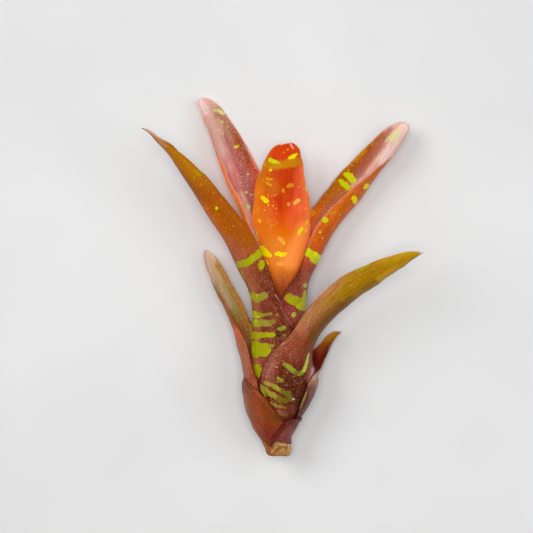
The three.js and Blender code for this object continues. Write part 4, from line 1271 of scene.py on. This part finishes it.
# %% Broad right leaf
build_leaf(
    "leaf_right_tall",
    paint=dict(
        inner=([(80, "oxblood"), (100, "ember"), (114, "melon"), (120, "orange"), (127, "copper"),
                (137, "amber"), (147, "ochre"), (155, "ochre"), (163, "rose")],
               [("terracotta", 0.7, 4, [(20, 117), (25, 123), (30, 129)]),
                ("salmon", 0.35, 3, [(17, 112), (22, 118.5), (26, 123)]),
                ("dusty", 0.95, 4, [(56, 162), (52, 157), (47, 150), (41, 142), (37, 138)]),
                ("brick", 0.5, 3.5, [(46, 151), (42, 146), (37, 141)]),
                ("ochre", 0.85, 4.5, [(50, 161), (38, 149), (31, 141)]),
                # rose and cream toward the lower margin are partly bloom and partly a painted
                # highlight.
                ("rose", 1, 5.2, [(62, 167), (57, 156), (52, 148), (47, 142)]),
                ("cream", 0.85, 4, [(64, 167), (60, 160), (57, 154), (52, 147.5)]),
                ("rose", 0.8, 2.2, [(47, 142.5), (41, 137.5), (37, 134.5)]),
                ("clay", 0.5, 1.8, [(46, 148), (42.5, 143.5)]),
                ("clay", 0.6, 2.4, [(50.4, 155), (47.6, 151.2)])]),
        outer=([(25, "maroon"), (58, "crimson"), (74, "crimson"), (84, "wine"), (92, "brick"),
                (99, "vermilion"), (108, "tangerine"), (124, "tangerine"), (160, "tangerine")],
               # The clay strokes are painted light on the tube's lit right flank.
               [("clay", 0.7, 3, [(11, 68), (12.5, 82), (14, 90)]),
                ("maroon", 0.6, 4, [(4, 85), (8, 90), (9, 94)]),
                ("maroon", 0.5, 1, [(1.4, 79), (4.8, 73), (8.4, 67)]),
                ("clay", 0.7, 2.2, [(9, 71.5), (8, 68), (9.5, 68)]),
                ("maroon", 0.5, 1.5, [(2.6, 76.4), (4.4, 74.6)]),
                ("fire", 0.4, 5, [(18, 104), (24, 110)]),
                ("orange", 0.7, 4, [(34, 132), (42, 138)]),
                ("ochre", 0.25, 2.2, [(33, 126), (41, 135), (48, 143)]),
                ("vermilion", 0.4, 2.2, [(25, 106), (29, 114), (32, 120)])])),
    marks=dict(
        inner=[
            ("acid", 1, [(33.2, 141.1, 1.5), (35, 139.8, 1.8), (37.5, 137.7, 1.7)]),
            ("acid", 1, [(30.5, 137.7, 1.3), (32, 136.1, 1.3), (34.6, 134.2, 1.6)]),
            ("acid", 0.8, [(34.2, 143, 0.7)]),
            ("gold", 0.5, [(37.2, 148, 1.4), (40.2, 150.5, 1.6), (43.2, 153, 1.2)]),
            ("pale_green", 0.7, [(55.4, 158.6, 1), (57.8, 161.2, 1.3), (60.2, 163, 0.9)]),
            ("pale_green", 0.75, [(56.6, 157.6, 0.9), (58.8, 160, 1.4), (61, 162, 1)]),
            ("pale_green", 0.5, [(53.4, 157.2, 0.8), (54.8, 159.4, 0.7)]),
            ("pale_green", 0.55, [(57.8, 156.4, 0.8), (59.8, 158.4, 0.9)]),
            ("pale_green", 0.5, [(49.2, 148, 0.8), (50.5, 149.5, 1)]),
            ("sun", 0.9, [(16.2, 121.5, 1.5)])],
        outer=[
            ("yellow", 1, [(42.8, 134.3, 1.2), (43.8, 134.8, 1.6)]),
            ("yellow", 0.95, [(37.2, 129, 1.3), (38, 126.8, 1.3)]),
            ("acid", 0.95, [(22.9, 118.2, 1.7)]), ("yellow", 0.9, [(20.2, 112, 0.9)]),
            ("butter", 0.8, [(21.5, 109, 0.7)]), ("lime", 0.45, [(26.7, 121.5, 0.8)]),
            ("sun", 0.9, [(30.2, 120.8, 0.6)]), ("sun", 0.6, [(41, 131.3, 0.6)]),
            ("sun", 0.5, [(32, 127.6, 0.6)]), ("sun", 0.6, [(18.2, 108, 0.6)]),
            ("sun", 0.8, [(20.4, 116, 0.6)]), ("sun", 0.6, [(25.5, 121.2, 0.6), (28, 122, 0.5)]),
            # acid and chartreuse at the bands' right ends are brighter, as painted light on the
            # right flank.
            ("acid", 1, [(13.9, 102.2, 2), (16.5, 100.5, 2.4), (19.4, 98, 2.2)]),
            ("chartreuse", 1, [(17.6, 99.8, 2.3), (20.4, 98, 2.4)]),
            ("lettuce", 0.85, [(13.2, 85.5, 1.3)]),
            ("lime", 0.75, [(3.8, 79, 2), (4.8, 78.8, 2)]),
            ("lime", 1, [(5.6, 78.4, 2.2), (8.2, 77.2, 2.4), (9.8, 76.5, 2.5)]),
            ("acid", 1, [(10.4, 76.3, 2.7), (13, 75.4, 3)]),
            ("acid", 0.9, [(12.9, 82.5, 0.8), (12.6, 78.5, 1.4), (12.2, 75.4, 1.9)]),
            ("khaki", 1, [(7.4, 70.4, 1.3)])]),
    hidden=back_bands(*outer["leaf_right_tall"], "lime", 9, seed=13),
    scales=(0.08,
            [(0.7, 12, [(12, 96), (9, 84), (8, 66)]), (1, 5.5, [(60, 163), (50, 148), (38, 135)]),
                   (0.5, 5, [(32, 130), (18, 114)])]),
    flecks=[(0.8, 4, [(47, 157), (38, 148), (29, 138)]), (0.4, 6, [(30, 136), (18, 120)]),
            (0.4, 6, [(40, 132), (24, 116), (20, 108)])],
    # The inner face's glow is a painted glow that lifts the part in the centre leaf's shade.
    faces=dict(outer=dict(other="brick", mottling=0.38, dust=(0.28, 0.25), flecks="gold"),
               inner=dict(other="clay", dust=(0.3, 0.45), glow=0.15, rough=0.52, flecks="acid")))

# %% [markdown]
# ## The back leaf on the left
# This one shows almost only its inner face, which is thick with scales: cream and rose down the
# left side, partly bloom and partly a painted highlight, mauve in the middle and brick where the
# centre leaf shades it. A pale shell stroke lower down is painted light over a part in shade. A
# strip of the outer face, coral and flecked, runs down its left margin; its brightest orange and
# a strong painted glow stand in for light where the long left leaf shades it. Its bloom is made
# of dots, dense but crisp, since a plain veil of white would look like fog.

# %% Back left leaf
build_leaf(
    "leaf_back_left",
    paint=dict(
        inner=([(84, "mauve"), (120, "mauve"), (145, "mauve"), (160, "dusty"), (170, "fawn"),
                (181, "rose")],
               [("fawn", 0.9, 5, [(-29, 172), (-26.5, 167), (-23, 160)]),
                ("clay", 0.8, 4.5, [(-22, 161), (-18, 153), (-15, 147)]),
                ("brick", 0.5, 4.5, [(-21, 156), (-18, 149), (-15, 143)]),
                ("mauve", 0.35, 3, [(-27.5, 170), (-25, 164)]),
                ("vermilion", 0.8, 5, [(-12, 149), (-10, 142), (-11, 134)]),
                ("salmon", 0.65, 4.5, [(-28, 150), (-24, 142), (-21, 134), (-20, 128)]),
                # shell is painted light, lifting the lower part that lies in shade.
                ("shell", 1, 4.2, [(-20.5, 129), (-18, 123), (-15, 113), (-11, 106)]),
                # rose and cream down the left side are partly bloom and partly a painted highlight.
                ("rose", 0.9, 5.5, [(-41, 179), (-37, 169), (-33, 159), (-30, 152)]),
                ("rose", 0.5, 4, [(-30, 152), (-26, 144)]),
                ("cream", 0.8, 3.5, [(-41, 179), (-38, 172)]),
                ("chestnut", 0.35, 3, [(-24, 165), (-18.5, 155), (-14.5, 148)]),
                ("cream", 0.55, 0.7, [(-27.2, 173.4), (-22, 165.6), (-19, 160)]),
                ("rose", 0.4, 3, [(-31.4, 167), (-30, 162)]),
                ("rose", 0.2, 0.7, [(-19, 160), (-11.6, 144)])]),
        outer=([(30, "wine"), (84, "brick"), (98, "melon"), (130, "melon"), (142, "sienna"),
                (160, "clay"), (165, "clay"), (170, "rose"), (180, "cream")],
               # orange is painted light where the long left leaf shades the outer strip.
               [("orange", 0.6, 3, [(-21, 126), (-17, 116)]),
                ("melon", 0.6, 3, [(-31, 148), (-26, 136)])])),
    marks=dict(
        inner=[
            ("pale_green", 0.5, [(-37.2, 174, 0.8)]), ("pale_green", 0.5, [(-35.7, 170, 0.6)]),
            ("pale_green", 0.6, [(-34.2, 170, 0.6)]), ("wheat", 0.7, [(-33.7, 164.5, 0.8)]),
            ("wheat", 0.7, [(-31.7, 160, 0.8)]), ("wheat", 0.7, [(-28.7, 161.2, 0.9)]),
            ("wheat", 0.75, [(-33.2, 163.2, 0.7), (-30, 163.1, 0.7)]),
            ("pale_green", 0.5, [(-32.6, 173, 0.9), (-30.6, 172.6, 1.1)]),
            ("pale_green", 0.75, [(-30.4, 172.8, 1.1), (-28.2, 171.2, 1)]),
            ("lettuce", 0.9, [(-28.7, 167, 0.9)]), ("khaki", 0.5, [(-25.7, 164.5, 0.9)]),
            ("acid", 0.8, [(-22, 154.5, 0.95), (-20.9, 154.8, 0.9)]),
            ("pale_green", 0.8, [(-15.7, 141, 0.7)]), ("pale_green", 0.5, [(-16.7, 137, 0.5)]),
            ("pale_green", 0.6, [(-16.2, 135, 0.7)]), ("pale_green", 0.9, [(-16.7, 131.5, 1)]),
            ("pale_green", 0.6, [(-14.2, 130.5, 0.7)]), ("pale_green", 1, [(-16.2, 124, 1.3)])],
        outer=[
            ("butter", 0.8, [(-22.7, 130, 0.6), (-22, 128.5, 0.5)]),
            ("butter", 0.9, [(-20.7, 127, 0.6)]),
            ("butter", 0.9, [(-18.9, 119.5, 0.5), (-18.5, 118, 0.6)]),
            ("butter", 0.5, [(-32.2, 161.5, 0.6)])]),
    hidden=back_bands(*outer["leaf_back_left"], "gold", 8, seed=14),
    scales=(0.45,
            [(1, 9, [(-38, 176), (-30, 150), (-19, 122)]), (0.3, 4, [(-12, 150), (-11, 136)])]),
    flecks=[(0.5, 5, [(-36, 174), (-30, 158)]), (0.6, 3, [(-28, 142), (-17, 116)]),
            (0.5, 4, [(-19, 152), (-16, 128)])],
    # Both glows are painted glows, lifting the shaded outer strip and inner face.
    faces=dict(outer=dict(other="orange", dust=(0.05, 0.05), glow=0.4, flecks="butter"),
               inner=dict(other="brick", mottling=0.25, scales="cream", dust=(0.3, 0.45), glow=0.2,
                          rough=0.6,
                          flecks="khaki")),
    high=("shell", 0.35))

# %% [markdown]
# ## The front leaf
# It crosses in front of the tube and reaches toward the viewer. Its shoulder is rosy with rows
# of scales, and its left and right sides are lighter in part from painted light. Its middle is
# nearly black-brown, which is painted shade, and olive bands curl across it like claw marks. The
# blade is tan along its upper margin and olive below. A band here changes from olive to fern as
# it goes into the shade, so each is laid as two or three marks, end to end. Its tiny cream specks
# are painted glints.

# %% Front leaf
build_leaf(
    "leaf_right_front",
    paint=dict(
        outer=([(10, "chestnut"), (22, "wine"), (47, "wine"), (54, "russet"), (61, "hide"),
                (67, "sand"),
                (80, "honey"), (94, "honey"), (100, "mustard"), (103, "mustard")],
               [("wine", 0.8, 5, [(-5, 56), (-9, 46)]),
                # rosewood on the left side is painted light, and the shadow strokes paint the dark
                # middle as shade.
                ("rosewood", 0.9, 5, [(-4.5, 49), (-6.5, 43), (-6, 37)]),
                ("shadow", 0.9, 6, [(3, 41), (3, 36), (5, 30)]),
                ("shadow", 0.8, 5.5, [(9, 42), (9.5, 35), (9, 28)]),
                ("terracotta", 0.5, 2.2, [(-0.5, 22), (2.5, 20.5)]),
                ("russet", 0.7, 5, [(4, 54), (8, 58)]),
                ("chestnut", 0.9, 4, [(14, 54), (17, 60)]),
                ("bronze", 0.95, 4, [(17, 58), (22, 65), (29, 71), (36, 77)]),
                ("bronze", 0.5, 3, [(17, 63), (23, 70), (30, 76)]),
                ("umber_gold", 0.6, 4, [(36, 78), (48, 87)]),
                # sun along the blade's lower margin is painted light, where little light falls.
                ("sun", 0.75, 2.6, [(50, 88.5), (57, 93), (63, 97)]),
                ("tan", 0.95, 4.2, [(9, 66), (13, 71), (19, 79), (28, 87)]),
                ("tan", 0.5, 3, [(28, 88), (40, 96)]),
                ("mustard", 0.9, 4, [(60, 97), (70, 102)]),
                ("cream", 0.7, 1, [(70.6, 101.9), (71.5, 102)]),
                # rosewood and rose on the right side are painted light, the small rose patch is a
                # painted highlight, and the thin wine lines are painted shade where the margin
                # meets the long left leaf.
                ("rosewood", 0.7, 2, [(15.5, 50), (15.5, 44), (14.5, 39)]),
                ("rose", 0.8, 1.6, [(17, 43.5), (16.4, 40.5), (15.2, 37.5)]),
                ("rose", 0.35, 0.8, [(1, 55.6), (2.4, 56.8)]),
                ("wine", 0.85, 1.2, [(1.4, 58.4), (2.6, 59.2), (5, 61.4)]),
                ("wine", 0.6, 1.3, [(-3, 51.4), (-4.4, 49.6), (-5.8, 47.4)])]),
        inner=([(50, "mauve"), (103, "rose")], [])),
    marks=dict(outer=[
        ("leaf_green", 0.9, [(2.4, 46, 1), (5.4, 44, 1.3), (7.6, 42.4, 1.3)]),
        ("fern", 0.85, [(7.8, 42.2, 1.3), (8.9, 41.4, 1.3), (10.4, 41, 1.1)]),
        ("leaf_green", 0.95, [(10.2, 41, 1.2), (11.6, 42.2, 1)]),
        ("lettuce", 0.95, [(11.8, 42.4, 1), (13.2, 45.5, 0.9), (14.6, 51, 0.7)]),
        ("leaf_green", 0.9, [(-0.9, 38.8, 0.9), (1.1, 38, 1.2)]),
        ("olive", 0.95, [(-7.4, 37, 1), (-2.7, 34.7, 1.2), (0.2, 33, 1.2)]),
        ("fern", 0.9, [(0.6, 32.8, 1.2), (2.6, 31.8, 1.3), (4.6, 31.4, 1.5)]),
        ("olive", 0.95, [(-8.8, 34.2, 1.2), (-5, 31.3, 1.3), (-1.4, 29.3, 1.5)]),
        ("fern", 0.9, [(-0.8, 28.9, 1.5), (1.6, 28, 1.5), (3.2, 27.4, 1.3)]),
        ("fern", 0.85, [(3.8, 30.6, 1.5), (5.8, 28.8, 1.4), (6.4, 27.8, 1)]),
        # The cream specks are painted glints.
        ("cream", 0.95, [(6.7, 28.6, 0.5), (7.6, 28.1, 0.45)]),
        ("cream", 0.8, [(-1.2, 44.7, 0.35)]),
        ("olive", 0.7, [(-4.4, 26.6, 0.9), (-1.2, 25, 0.9), (3, 24.1, 0.7)]),
        ("moss", 0.6, [(0.7, 20.7, 0.5), (3.7, 20.3, 0.5)]),
        # acid at the band's left end is brighter, as painted light.
        ("acid", 0.85, [(-9.9, 34.8, 1.3), (-8.9, 31.6, 1.2), (-7.2, 29.5, 0.7)]),
        ("moss", 0.6, [(4.2, 37, 0.4)]),
        ("lime", 0.6, [(38.7, 93, 0.9), (41.2, 94, 1.1), (44.2, 95.7, 0.9)]),
        ("khaki", 0.35, [(35.7, 85.5, 0.8)]), ("khaki", 0.35, [(56.7, 93, 0.8)])]),
    hidden=back_bands(*outer["leaf_right_front"], "moss", 5, seed=15),
    scales=(0.12, [(0.45, 14, [(2, 50), (6, 34), (4, 24)]), (1, 6.5, [(-2, 52), (-5.5, 43)]),
                   (0.5, 8, [(6, 60), (16, 72), (28, 84)])]),
    flecks=[(0.4, 6, [(34, 86), (48, 94), (66, 101)])],
    faces=dict(outer=dict(other="chestnut", mottling=0.4, scales="wheat", flecks="sun"),
               inner=dict(other="mauve", rough=0.55)),
    high=("cream", 0.45))

# %% [markdown]
# ## The two low leaves
# The left one shows its inner face, silvery with scales over olive brown. The right one curls
# down, so its small blade shows an ochre tip and a blood-red throat, and its tube a dusty mauve.
# They are built as the tall ones are. Scaled copies of one leaf would save lines, but the eye
# sees at once when two leaves of a plant are the same.

# %% Low leaves
build_leaf(
    "leaf_left_low",
    paint=dict(
        inner=([(50, "rust"), (60, "rust"), (66, "caramel"), (74, "sage"), (84, "sage"),
                (90, "straw"), (95, "wheat"), (104, "shale")],
               [("caramel", 0.8, 3.5, [(-20, 64), (-16, 58)]),
                ("straw", 0.8, 3, [(-33, 90), (-29, 82), (-26, 75)]),
                ("wheat", 0.7, 1, [(-36, 93), (-32.8, 85.6)]),
                ("ochre", 0.7, 1.2, [(-30.6, 80.6), (-28.6, 76.4), (-24, 68)]),
                ("cream", 0.6, 2.5, [(-38, 101), (-36.5, 94), (-34, 88)]),
                ("rose", 0.9, 1.2, [(-38, 103), (-37.4, 101.6)]),
                ("caramel", 0.85, 3, [(-30.6, 95), (-25, 86), (-20.4, 77), (-16.6, 68), (-14, 62)]),
                ("amber", 0.85, 1.7, [(-31, 98.4), (-23.6, 86), (-17.4, 73), (-14, 62)]),
                ("khaki", 0.45, 1, [(-33, 101), (-28.6, 95.4), (-24.6, 89)]),
                ("khaki", 0.25, 3.5, [(-35, 97), (-31, 88)]),
                # sun and tan along the right margin are painted light, lifting the contact shade
                # beside the long left leaf's tube.
                ("sun", 0.9, 1.6, [(-14, 66), (-13.8, 58), (-13.4, 50)]),
                ("tan", 0.9, 1.6, [(-13.4, 50), (-13.2, 44)])]),
        outer=([(13, "wine"), (30, "oxblood"), (38, "brick"), (50, "rust"), (56, "clay"),
                (62, "sienna"), (67, "ochre"), (80, "ochre"), (104, "rose")],
               [("clay", 0.8, 3.5, [(-20, 57), (-17.5, 50), (-17, 44), (-16.8, 41)])])),
    marks=dict(outer=[("lime", 0.4, [(-14, 80, 1.1)])]),
    hidden=back_bands(*outer["leaf_left_low"], "moss", 5, seed=16),
    scales=(0.4, [(1, 6, [(-19, 56), (-17, 44), (-15, 34)]), (0.9, 6, [(-35, 92), (-26, 74)])]),
    faces=dict(outer=dict(other="brick", scales="wheat"),
               # The inner face's glow is a painted glow that lifts its shaded right margin.
               inner=dict(other="caramel", scales="cream", dust=(0.35, 0.45), mottling=0.4,
                          glow=0.12, rough=0.5)),
    high=("amber", 0.4))
build_leaf(
    "leaf_right_low",
    paint=dict(
        inner=([(40, "ruby"), (49, "ruby"), (52, "brick"), (55.5, "ochre"), (59, "amber"),
                (62, "amber")],
               [("rose", 0.7, 1, [(30.5, 61.8), (31.5, 62.2)]),
                ("mustard", 0.5, 2, [(25, 58), (28, 61)]),
                ("shadow", 0.7, 3, [(16, 53), (17.5, 50), (18, 46)]),
                ("fawn", 0.9, 2.4, [(15.5, 44.5), (17.5, 42), (19.5, 40)])]),
        outer=([(13, "plum"), (30, "plum"), (35, "rosewood"), (39, "terracotta"),
                (46, "terracotta"),
                (50, "plum"), (56, "rust"), (62, "terracotta")],
               [("plum", 0.8, 2.8, [(14, 34), (13, 28), (10.5, 22)]),
                # fawn and rose on the right flank are partly the sheath's pale colour and partly
                # painted light.
                ("fawn", 0.7, 3.2, [(19, 43), (17.8, 40), (17, 37.5)]),
                ("rose", 0.5, 2, [(18.3, 41.5), (17.2, 39)])])),
    marks=dict(outer=[("khaki", 0.6, [(14.5, 38, 0.5), (14.5, 35, 0.5)]),
                      ("khaki", 0.6, [(13.7, 32, 0.5), (12, 28, 0.6), (10.2, 24, 0.5)])]),
    hidden=back_bands(*outer["leaf_right_low"], "moss", 4, seed=17),
    scales=(0.3, [(0.9, 5, [(18, 42), (16, 32)])]),
    faces=dict(outer=dict(other="plum"), inner=dict(other="rust", rough=0.4, dust=(0.15, 0.1))))

# %% [markdown]
# ## The two scale leaves
# The lowest leaves have no blade. They are short, tough bracts that clasp the foot of the shoot:
# rust and olive brown on the left, plum on the right. A cone cut at a slant would be near, but
# the same rows on the tube keep their rims at the right distance from the leaf above.

# %% Scale leaves
build_leaf(
    "bract_left",
    paint=dict(
        outer=([(4, "oxblood"), (12, "brick"), (20, "brick"), (30, "oxblood"), (40, "oxblood")],
               [("rust", 0.9, 6, [(-14, 30), (-12, 24), (-9, 18)]),
                ("wine", 0.9, 4.5, [(-1, 20), (-3, 23)]),
                ("oxblood", 0.8, 4, [(-6, 14), (-4, 10)]),
                ("bronze", 0.5, 4, [(-7, 27), (-4, 21), (-2, 18)]),
                ("bronze", 0.4, 3, [(-16, 36), (-15, 31)]),
                # Terracotta along the left margin is a painted highlight.
                ("terracotta", 0.5, 1.8, [(-18, 30), (-16, 20), (-12, 11)])]),
        inner=([(4, "maroon"), (40, "maroon")], [])),
    marks={}, hidden=[],
    scales=(0.1, [(0.4, 4, [(-18, 30), (-15, 18)])]),
    faces=dict(outer=dict(other="chestnut", mottling=0.45, vein=0.22),
               inner=dict(other="brick", rough=0.6)))
build_leaf(
    "bract_right",
    paint=dict(
        outer=([(4, "garnet"), (12, "garnet"), (16, "plum"), (24, "plum")],
               [("rosewood", 0.6, 3, [(2, 11), (5, 13)]),
                ("maroon", 0.7, 2.5, [(-4, 7), (1, 14), (4, 18), (9, 20)])]),
        inner=([(4, "maroon"), (40, "maroon")], [])),
    marks={}, hidden=[],
    scales=(0.18, []),
    faces=dict(outer=dict(other="wine"), inner=dict(other="brick", rough=0.6)))

# %% [markdown]
# ## The cut stem
# The runner was cut with a knife, so its end is pale, fibrous and slightly uneven, with a torn
# collar of old sheath round it. A sphere's rings make a closed solid of revolution: ring by
# ring they are put on the stem's outline, closer together at the cut end, which shows. Spin
# could turn the same outline, but its poles would have to be closed by hand. Fibres and the torn
# rim are then pressed into the form, and the neck under the right bract is filled a little,
# because the photograph shows no gap there.

# %% Stem form
STEM_PROFILE = [[0, 0], [5.2, 0], [6, 0.7], [6.8, 3.6], [7.1, 5.6], [6.9, 6], [4.4, 6.1],
                [4.9, 7.4], [5.6, 8.6], [6.3, 10], [6.8, 12], [6.9, 16], [6.9, 24], [6.5, 26],
                [5.5, 28.5], [3.5, 31], [0, 32]]
COLLAR_RIM = 6.0
COLLAR_EDGE = [[-180, 8.6], [-120, 9.3], [-90, 9.2], [-60, 7.2], [-30, 4.7], [-10, 6.2],
               [8, 7.2], [35, 6.6], [60, 5.9], [90, 5.2], [140, 6], [180, 8.6]]
COLLAR_BLEND = 12.0
NECK_RADIUS = 5.7  # at least, under the right bract, where the neck shows
NECK_HEIGHTS = (5, 7.1)
NECK_RISE = (5, 20)  # bearings
NECK_FALL = (110, 130)
FIBRE = 0.16  # how far the fibres stand out
FIBRE_RADII = (3, 5.5)  # from the smooth middle of the cut to the ribbed side
FIBRE_WAVES = [(1, 17, 0.8), (0.7, 41, -1.1), (1, 0, 2.9)]  # size, waves round, radians a mm
CUT_DEPTH = 0.8  # mm, how uneven the cut end is
RING_CROWDING = 1.6  # toward the cut end
STEM_SMOOTH = 40  # degrees

bpy.ops.object.select_all(action="DESELECT")
bpy.ops.mesh.primitive_uv_sphere_add(segments=128, ring_count=112, radius=1)
stem = bpy.context.object
stem.name = "stem_wood"
ball = np.array([vertex.co for vertex in stem.data.vertices])
profile = np.array(STEM_PROFILE)
reach = run_length(profile)
polar = np.arccos(np.clip(-ball[:, 2], -1, 1)) / math.pi
place = reach[-1] * polar ** RING_CROWDING
radius = np.interp(place, reach, profile[:, 0])
height = np.interp(place, reach, profile[:, 1])
turn = np.arctan2(ball[:, 0], ball[:, 1])
bearing = np.degrees(turn)
side = soft_step(radius, *FIBRE_RADII)
fibres = sum(size * np.sin(ribs * turn + climb * height) for size, ribs, climb in FIBRE_WAVES)
radius = radius - FIBRE * side * (1.2 + fibres) / 2
# The cut end is not quite flat: two slow waves lift it, and fade out 1 mm up the side.
uneven = 0.25 * np.sin(3 * turn + 1) + 0.2 * np.sin(1.9 * radius + 2 * turn)
height = height + (1 - soft_step(height, 0, 1)) * (0.3 + 0.6 * uneven) * CUT_DEPTH
share = np.where(height <= COLLAR_RIM, height / COLLAR_RIM,
                 1 - soft_step(height, COLLAR_RIM, COLLAR_BLEND))
height = height + (along(COLLAR_EDGE, bearing) - COLLAR_RIM) * share
shown_neck = between(bearing, NECK_RISE, NECK_FALL)
shown_neck = shown_neck * (height > NECK_HEIGHTS[0]) * (height < NECK_HEIGHTS[1])
radius = np.maximum(radius, NECK_RADIUS * shown_neck)
wood = np.stack([radius * np.sin(turn) + along(TUBE_MIDDLE, height), height,
                 radius * np.cos(turn)], -1)
stem.data.vertices.foreach_set("co", to_table(wood).astype(np.float32).ravel())
bpy.ops.object.mode_set(mode="EDIT")
bpy.ops.mesh.select_all(action="SELECT")
bpy.ops.mesh.normals_make_consistent(inside=False)
bpy.ops.object.mode_set(mode="OBJECT")
bpy.ops.object.shade_smooth_by_angle(angle=math.radians(STEM_SMOOTH))
print("stem:", len(wood), "points,", round(float(radius.max()) * 2, 1), "mm thick")

# %% [markdown]
# The wood is painted like the leaves: tan, paler where the knife bared the pith, with pale husk
# streaks that are partly painted highlights, cinnamon on the left where a rag of sheath still
# clings, and dark where it meets the lowest leaf. Fibres run along it, and the collar's torn edge
# shows as rings. Both are noises on Object coordinates, one stretched along the stem and one
# squeezed. A wood picture would need a map of its own, and a solid noise runs on through the cut
# end as real grain does.

# %% Stem material
WOOD_BUMP = 0.4  # mm
spots = seen(wood)
STEM_RAMP = [(0, "cinnamon"), (2, "bark"), (5, "bark"), (6, "pith"), (7.6, "pith"), (9, "wine")]
grain = brush(ramp(STEM_RAMP, spots[:, 1]), [
    ("cinnamon", 0.9, 3.5, [(-7, 6), (-6.5, 4), (-5, 2)]),
    ("maroon", 0.4, 2.2, [(-7.2, 1.2), (-5.4, 0)]),
    # The husk strokes are partly the pale fibres and collar rings and partly painted highlights.
    ("husk", 0.7, 2.6, [(5.8, 6.2), (5.8, 3), (5.2, 1)]),
    ("husk", 0.8, 0.9, [(-4.1, 1.7), (-1.5, 4.5)]),
    ("husk", 0.35, 0.8, [(-1.8, 7), (1, 7.3), (5, 6.2)]),
    ("husk", 0.6, 0.6, [(0.3, 5.4), (4.6, 5.4)]),
    ("bronze", 0.4, 0.6, [(-1, 4.8), (4, 4.6)]),
    ("husk", 0.35, 1.6, [(1.8, 2.6), (4, 2.6)]),
    ("pith", 0.5, 0.9, [(-2, 0.9), (4, 0.8)]),
    ("bronze", 0.45, 0.9, [(-2.2, 3.2), (-0.5, 3.7)]),
    ("pith", 0.5, 0.9, [(0.4, 2.4), (1.4, 3.2)]),
    ("bronze", 0.4, 0.8, [(2.4, 2.8), (3.2, 3.4)]),
    ("bronze", 0.35, 1.2, [(-2.6, 6), (0.8, 6.2)]),
    ("cinnamon", 0.6, 2, [(-5.2, 1.4), (-2.8, 1.6)])], spots)
set_attribute(stem.data, "paint_outer", "FLOAT_COLOR", with_alpha(grain))

stem_wood = bpy.data.materials.new("stem_wood")
stem_wood.use_nodes = True
tree = stem_wood.node_tree
shader = tree.nodes["Principled BSDF"]
place = add(tree, "ShaderNodeTexCoord").outputs["Object"]
lengthwise = noise(tree, stretched(tree, place, (1500.0, 160.0, 1500.0)), 4.0, 0.6)
rings = noise(tree, stretched(tree, place, (170.0, 1900.0, 170.0), 4.0), 3.0)
both = weighted(tree, lengthwise, 0.6, rings, 0.4)
shade = ease(tree, both, 0.35, 0.65, 0.62, 1.25)
colour = scaled(tree, carried(tree, "paint_outer", "Color"), shade)
bump = add(tree, "ShaderNodeBump", {
    "Height": both, "Strength": 0.8, "Distance": WOOD_BUMP * MM})
tree.links.new(colour, shader.inputs["Base Color"])
tree.links.new(bump.outputs[0], shader.inputs["Normal"])
shader.inputs["Roughness"].default_value = 0.75
stem.data.materials.append(stem_wood)
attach(stem, "root")
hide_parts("stem")
print("stem painted")

# %% [markdown]
# ## Table and light
# The table is plain and pale, with a faint cloud so it doesn't look like an empty background.
# Three big soft lights shine on the shoot: the key from the upper left, a weaker fill from the
# right, and a broad one from in front, as in the photograph. The front one gives no reflections,
# because it would lay a white veil on every leaf. A weak white world lightens the shadows. One
# small lamp would be simpler, but its hard shadows would hide half of the leaves.

# %% Table and light
TABLE = 4.0  # metres
TABLE_DROP = 0.0002  # just under the leaves, so that two faces never share a place
WORLD_LIGHT = 0.15
bpy.ops.mesh.primitive_plane_add(size=TABLE, location=(0, 0, -TABLE_DROP))
table = bpy.context.object
table.name = "table"
pale = bpy.data.materials.new("pale_table")
pale.use_nodes = True
tree = pale.node_tree
shader = tree.nodes["Principled BSDF"]
place = add(tree, "ShaderNodeTexCoord").outputs["Object"]
cloud = noise(tree, stretched(tree, place, (9.0, 9.0, 9.0)), 2.0)
tree.links.new(ease(tree, cloud, 0.3, 0.7, 0.68, 0.72), shader.inputs["Base Color"])
shader.inputs["Roughness"].default_value = 0.9
table.data.materials.append(pale)


def soft_light(name, place, size, power):
    bpy.ops.object.light_add(type="AREA", location=place)
    lamp = bpy.context.object
    lamp.name = name
    lamp.data.size = size
    lamp.data.energy = power
    lamp.rotation_euler = (-lamp.location).to_track_quat("-Z", "Y").to_euler()
    return lamp


soft_light("key", (-0.8, 0.5, 1.2), 0.8, 9.5)
soft_light("fill", (0.9, 0.1, 1.1), 1.0, 6)
soft_light("front", (0.0, 0.15, 1.9), 0.7, 18).visible_glossy = False
world = bpy.data.worlds.new("studio")
world.use_nodes = True
background = world.node_tree.nodes["Background"]
background.inputs["Color"].default_value = (1, 1, 1, 1)
background.inputs["Strength"].default_value = WORLD_LIGHT
bpy.context.scene.world = world
bpy.context.scene.view_settings.view_transform = "Standard"
print("lights ready")

# %% [markdown]
# The camera looks straight down from 1.5 m, with a long lens, which is why the tips that reach
# up look only a little larger. It stands at the same place as `EYE`, which the paint was laid
# for, so every stroke falls where it was meant to be seen. A nearer camera with a wide lens
# would show the same picture of the table, but swell the leaf that reaches toward it.

# %% Camera
CAMERA_HEIGHT = 1.5  # above the tube's middle
VIEW_WIDTH = 0.2665  # at that height, over the whole picture
SENSOR = 36  # mm
camera_place = (EYE[0] * MM - REST_ACROSS * MM, (EYE[1] - REST_ALONG) * MM,
                CAMERA_HEIGHT + AXIS_HEIGHT * MM)
bpy.ops.object.camera_add(location=camera_place, rotation=(0, 0, 0))
camera = bpy.context.object
camera.data.sensor_width = SENSOR
camera.data.lens = SENSOR * CAMERA_HEIGHT / VIEW_WIDTH
camera.data.dof.use_dof = False
bpy.context.scene.camera = camera
print("lens", round(camera.data.lens, 1), "mm")
